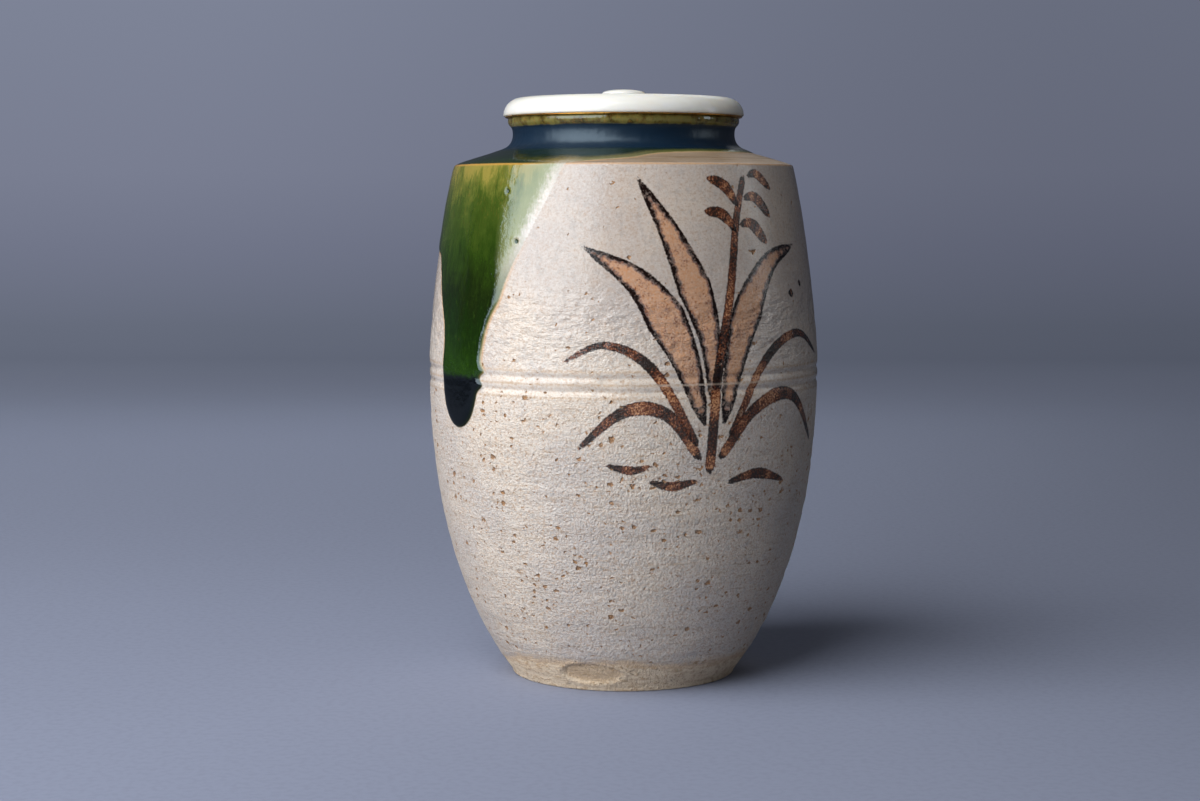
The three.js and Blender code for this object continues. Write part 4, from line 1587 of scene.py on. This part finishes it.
@dataclass
class PouredGlaze:
    """Green glaze poured over the mouth, neck and shoulder, with the bead of its one long run.

    Attributes:
        mouth_reach: Millimetres down, inside the mouth, where it ends.
        proud: How far it stands out of the clay on the wall.
        thinned: Share that it loses on the arris, with the half width of that crest.
        beads: Height, millimetres down and half width of where it gathers in the neck's cove and
            under the lip.
        meniscus: Width of its rounded margin.
        dive: How deep it goes into the clay past its edge.
        cut_off: Millimetres inside the edge below which faces go.
        pins: Turn and millimetres down of its two pinholes.
        pin_rim: Height, radius and half width of the rim round a pinhole.
        pin_pit: Depth and half width of the pinhole itself.
    """

    jar: Jar
    columns: int = 540
    row_step: float = 0.29
    mouth_reach: float = -3.0
    lowest: float = 53.6
    proud: float = 0.13
    thin_proud: float = 0.03
    bead: float = 0.5
    thinned: tuple[float, float] = (0.55, 0.7)
    beads: tuple[tuple[float, float, float], ...] = ((0.14, 6.3, 1.3), (0.14, 0.75, 0.42))
    meniscus: float = 1.5
    dive: float = 0.26
    skin: float = 0.32
    cut_off: float = -0.6
    pins: tuple[tuple[float, float], ...] = ((-38.3, 17.7), (-33.2, 25.0))
    pin_rim: tuple[float, float, float] = (0.13, 0.62, 0.2)
    pin_pit: tuple[float, float] = (0.3, 0.34)
    ripples: tuple[Unevenness, ...] = (
        Unevenness(41, 60, 2.6, 0.02),
        Unevenness(42, 120, 5.0, 0.012),
    )
    mouth_waves: Unevenness = Unevenness(43, 24, 5.0, 0.3)

    def offset(self, turn: Array, down: Array, green: Array, soft: Array) -> Array:
        """Offset of the glaze's surface from the turned form.

        Args:
            turn: Degrees from the front.
            down: Millimetres down the outside.
            green: Millimetres inside the edge.
            soft: How softly the glaze thins out at the nearest edge.

        Returns:
            Millimetres out of the clay.
        """
        arris = self.jar.form.arris
        fall = np.clip((down - arris) / (self.lowest - arris), 0, 1)
        full = self.proud + (self.bead - self.proud) * fall**2
        full = full + (self.thin_proud - full) * soft * smooth_share(-green, -7.0, 0.0)
        lost, crest = self.thinned
        full = full * (1 - lost * hump(down, arris, crest))
        full = full + sum(tall * hump(down, centre, half) for tall, centre, half in self.beads)
        margin = np.clip(green / (self.meniscus * (1 + soft)), 0, 1)
        rounded = full * (margin * (2 - margin)) ** (0.5 + 0.4 * soft)
        rounded += margin * sum(waves.at(turn, down) for waves in self.ripples)
        plunge = -self.dive * smooth_share(-green, -0.05, 0.5)
        outside = np.where(down >= 0, -self.jar.skin_inset + self.jar.throwing(turn, down), 0.0)
        offset = outside + np.where(green > 0, rounded, plunge)
        (rim, radius, width), (deep, pit) = self.pin_rim, self.pin_pit
        for pin in self.pins:
            away = self.away(turn, down, *pin)
            offset += rim * hump(away, radius, width) - deep * hump(away, 0, pit)
        over_lip = smooth_share(-down, -0.2, 0.6)
        return offset * (1 - over_lip) + np.minimum(offset, -0.02) * over_lip

    def away(self, turn: Array, down: Array, spin: float, centre: float) -> Array:
        """Millimetres over the glaze from a point of it."""
        across = np.radians(short_way(turn - spin)) * self.jar.form.point(down)[:, 0]
        return np.hypot(across, down - centre)

    def build(self) -> Piece:
        """Builds and dresses the glaze.

        Returns:
            The piece, in place of the solid coat.
        """
        form = self.jar.form
        downs = rows_along([(self.lowest, self.row_step)], self.mouth_reach - 0.5)
        made, down = spun(form.point(downs), downs, self.columns)
        turn = turns_of(made)
        green, soft = self.jar.edge.reach(turn, down)
        mouth = down - self.mouth_reach + self.mouth_waves.at(turn)
        soft = np.where(mouth < green, 0.3, soft)
        green = np.minimum(green, mouth)
        points = form.point(down, self.offset(turn, down, green, soft))
        points[:, 1] = np.minimum(points[:, 1], form.lip_height)
        pin = np.min([self.away(turn, down, *place) for place in self.pins], axis=0)
        stored = {"down": down, "green": green, "soft": soft, "pin": np.minimum(pin, 3.0)}
        places = around_axis(points, turn)
        finish = GreenGlaze().material(form)
        stray = green < self.cut_off
        piece = shown("poured_green_glaze", made, places, stored, finish, stray)
        wall = piece.modifiers.new("thickness", "SOLIDIFY")
        wall.thickness = self.skin * MILLIMETRE
        wall.offset = -1.0
        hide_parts("green_glaze_coat")
        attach(piece, "jar")
        return piece


@dataclass
class Lid:
    """Lid turned in one with its low button knob and its locating boss."""

    radius: float = 18.4
    rim_height: float = 85.7
    thickness: float = 2.8
    edge_radius: float = 2.65
    rim_round: float = 0.2
    rim_bend: float = 0.35
    crown_rise: float = 0.35
    knob_radius: float = 3.35
    knob_height: float = 1.0
    knob_flare: float = 0.3
    knob_draft: float = 0.1
    knob_inset: float = 0.002
    boss_radius: float = 13.7
    boss_depth: float = 2.0
    boss_chamfer: float = 0.3
    columns: int = 240

    def outline(self) -> Array:
        """Outline from the middle of the boss's underside round to the top of the knob.

        Returns:
            Points (radius, height), one row each.
        """
        rim, boss = self.rim_height, self.boss_radius
        knob, flare = self.knob_radius, self.knob_flare
        low = rim - self.boss_depth
        crown = rim + self.thickness + self.crown_rise
        top = crown + self.knob_height - self.knob_inset
        chamfer = (boss - self.boss_chamfer, low), (boss, low), (boss, low + self.boss_chamfer)
        bend = (self.radius - self.rim_bend, rim)
        middle = (self.radius - self.edge_radius, rim + self.rim_round)
        turns = np.linspace(0, math.pi / 2, 22)
        across = self.edge_radius * np.cos(turns)
        up = (self.thickness - self.rim_round) * np.sin(turns)
        edge = np.stack([middle[0] + across, middle[1] + up], axis=1)
        halfway = (middle[0] + knob + flare) / 2
        return joined(
            bezier(12, (0.0, low), chamfer[0]),
            bezier(6, *chamfer),
            bezier(5, chamfer[-1], (boss, rim)),
            bezier(9, (boss, rim), bend),
            bezier(6, bend, (self.radius, rim), (self.radius, middle[1])),
            edge,
            bezier(26, edge[-1], (halfway, crown), (knob + flare, crown)),
            bezier(8, (knob + flare, crown), (knob, crown), (knob, crown + flare)),
            bezier(16, (knob, crown + flare), (knob - self.knob_draft, top), (0.0, top)),
        )

    def build(self) -> Piece:
        """Builds and dresses the lid.

        Returns:
            The piece, in place of the solid lid.
        """
        points = self.outline()
        made, _ = spun(points, np.arange(len(points)), self.columns)
        piece = shown("turned_lid", made, places_of(made), {}, IvoryPolish().material())
        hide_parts("lid")
        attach(piece, "lid")
        return piece


@dataclass
class LeafLining:
    """Gold leaf on its backing, under the lid's rim and round its boss.

    Attributes:
        leaf: Thickness of the leaf and its backing.
        step: Length that sets how many points a straight stretch has, closer toward its end.
    """

    lid: Lid
    leaf: float = 0.2
    radius: float = 14.0
    rim_radius: float = 18.15
    corner: float = 0.14
    crinkle: float = 0.03
    crinkles: Unevenness = Unevenness(51, 40, 1.9)
    step: float = 0.7
    columns: int = 240

    def outline(self) -> Array:
        """Closed outline of the stepped skin, from the axis below and back to it above.

        Returns:
            Points (radius, height), one row each.
        """
        rim = self.lid.rim_height
        low = rim - self.lid.boss_depth
        corners = [
            np.array(corner)
            for corner in (
                (0.0, low - self.leaf),
                (self.radius, low - self.leaf),
                (self.radius, rim - self.leaf),
                (self.rim_radius, rim - self.leaf),
                (self.rim_radius, rim),
                (self.radius - self.leaf, rim),
                (self.radius - self.leaf, low),
                (0.0, low),
            )
        ]
        points = [corners[0]]
        for before, here, after in zip(corners, corners[1:], corners[2:]):
            sides = (before - here, after - here)
            lengths = [np.linalg.norm(side) for side in sides]
            cut = min(self.corner, *(0.45 * length for length in lengths))
            start, end = (here + side / length * cut for side, length in zip(sides, lengths))
            count = max(1, int(np.linalg.norm(start - points[-1]) / self.step))
            for step in range(1, count):
                points.append(points[-1] + (start - points[-1]) * step / count)
            points.extend(bezier(3, start, here, end))
        return np.array([*points, corners[-1]])

    def build(self) -> Piece:
        """Builds and dresses the leaf.

        Returns:
            The piece, in place of the solid leaf.
        """
        points = self.outline()
        made, _ = spun(points, np.arange(len(points)), self.columns)
        places = places_of(made)
        radius = np.hypot(places[:, 0], places[:, 1])
        below = places[:, 2] < self.lid.rim_height - self.lid.boss_depth - self.leaf / 2
        waves = self.crinkles.at(turns_of(made), radius) * smooth_share(radius, 0.5, 3.0)
        places[:, 2] += np.where(below, np.abs(waves) * self.crinkle, 0.0)
        piece = shown("gold_leaf", made, places, {}, GoldLeaf().material())
        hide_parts("gold_leaf_lining")
        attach(piece, "lid")
        return piece


class Opening(Enum):
    """Shapes of a lamp's opening, by Blender's names."""

    OBLONG = "RECTANGLE"
    ROUND = "DISK"


@dataclass(frozen=True)
class Lamp:
    """One soft lamp that faces the jar.

    Attributes:
        name: Name of the lamp.
        turn: Degrees from the front round towards +X.
        lift: Degrees above the level of the jar's middle.
        distance: Metres from the jar's middle.
        power: Watts.
        opening: Shape of its opening.
        size: Its two sizes in metres.
        aim: Height of the jar's middle in metres.
    """

    name: str
    turn: float
    lift: float
    distance: float
    power: float
    opening: Opening
    size: tuple[float, float]
    aim: ClassVar[float] = 0.045

    def hang(self) -> None:
        """Hangs the lamp."""
        data = bpy.data.lights.new(self.name, "AREA")
        data.energy = self.power
        data.shape = self.opening.value
        data.size, data.size_y = self.size
        lamp = bpy.data.objects.new(self.name, data)
        turn, lift = math.radians(self.turn), math.radians(self.lift)
        level = math.cos(lift)
        way = Vector((math.sin(turn) * level, -math.cos(turn) * level, math.sin(lift)))
        lamp.location = Vector((0, 0, self.aim)) + way * self.distance
        lamp.rotation_mode = "QUATERNION"
        lamp.rotation_quaternion = way.to_track_quat("Z", "Y")
        bpy.context.scene.collection.objects.link(lamp)


@dataclass
class Studio:
    """Paper sweep, lamps, soft surroundings and the camera at the photograph's angle, in metres."""

    focal_pixels: float = 2190.0
    picture_width: int = 1200
    sensor_width: float = 36.0
    distance: float = 0.3385
    eye_height: float = 0.0727
    pitch: float = 5.179
    yaw: float = 0.612
    lamps: tuple[Lamp, ...] = (
        Lamp("soft_key", -48.0, 34.0, 0.62, 7.2, Opening.OBLONG, (0.66, 0.9)),
        Lamp("right_strip", 91.0, 14.0, 0.6, 0.19, Opening.OBLONG, (0.055, 0.3)),
        Lamp("back_fill", 172.0, 38.0, 0.8, 0.3, Opening.ROUND, (0.4, 0.4)),
    )
    surroundings: Colour = paint(158, 160, 168)
    surroundings_strength: float = 0.075
    wall: Colour = paint(122, 128, 146)
    half_width: float = 3.0
    front_rows: tuple[float, ...] = (-1.6, -0.4, 0.2)
    sweep_start: float = 0.7
    sweep_radius: float = 0.5
    wall_top: float = 2.4

    def sweep(self) -> None:
        """Lays the paper on the table and up behind in one curve."""
        radius, turns = self.sweep_radius, np.linspace(0, math.pi / 2, 20)
        curve = [
            (self.sweep_start + radius * math.sin(turn), radius * (1 - math.cos(turn)))
            for turn in turns
        ]
        line = [*((row, 0.0) for row in self.front_rows), *curve, (curve[-1][0], self.wall_top)]
        made = bmesh.new()
        corners = [made.verts.new((-self.half_width, y, z)) for y, z in line]
        sides = [made.edges.new(pair) for pair in zip(corners, corners[1:])]
        drawn = bmesh.ops.extrude_edge_only(made, edges=sides)["geom"]
        moved = [item for item in drawn if isinstance(item, bmesh.types.BMVert)]
        bmesh.ops.translate(made, verts=moved, vec=(2 * self.half_width, 0, 0))
        bmesh.ops.recalc_face_normals(made, faces=made.faces[:])
        if made.faces[0].normal.z < 0 and made.faces[1].normal.z < 0:
            bmesh.ops.reverse_faces(made, faces=made.faces[:])
        mesh = bpy.data.meshes.new("paper_sweep")
        made.to_mesh(mesh)
        made.free()
        paper = placed("paper_sweep", mesh, StudioPaper().material())

    def surround(self) -> None:
        """Fills the space round the stage with soft even light."""
        recipe = Recipe("surroundings", world=True)
        fill = recipe.node("Background", {0: self.surroundings, 1: self.surroundings_strength})
        wall = recipe.node("Background", {0: self.wall, 1: 1.0})
        seen = recipe.node("LightPath", {}).outputs["Is Camera Ray"]
        mixed = recipe.node("MixShader", {0: seen, 1: fill.outputs[0], 2: wall.outputs[0]})
        recipe.node("OutputWorld", {"Surface": mixed.outputs[0]})
        bpy.context.scene.world = recipe.owner

    def camera(self) -> None:
        """Sets the camera where the photograph was taken from."""
        data = bpy.data.cameras.new("camera")
        data.sensor_width = self.sensor_width
        data.lens = self.focal_pixels / self.picture_width * self.sensor_width
        data.clip_start, data.clip_end = 0.01, 20.0
        eye = bpy.data.objects.new("camera", data)
        eye.location = (0.0, -self.distance, self.eye_height)
        eye.rotation_euler = (math.radians(90 - self.pitch), 0.0, math.radians(self.yaw))
        bpy.context.scene.collection.objects.link(eye)
        bpy.context.scene.camera = eye

    def build(self) -> None:
        """Sets up the whole studio."""
        self.sweep()
        for lamp in self.lamps:
            lamp.hang()
        self.surround()
        self.camera()
        bpy.context.scene.view_settings.view_transform = "Standard"


def main() -> None:
    """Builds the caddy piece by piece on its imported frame, then the studio round it."""
    logging.basicConfig(level=logging.INFO, format="%(name)s: %(message)s")
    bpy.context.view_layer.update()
    form = JarForm()
    jar = Jar(form, GlazeEdge(form))
    lid = Lid()
    for maker in (jar, PouredGlaze(jar), lid, LeafLining(lid)):
        piece = maker.build()
        mesh = piece.data
        LOG.info("%s: %d points, %d faces", piece.name, len(mesh.vertices), len(mesh.polygons))
    Studio().build()


if __name__ == "__main__":
    main()
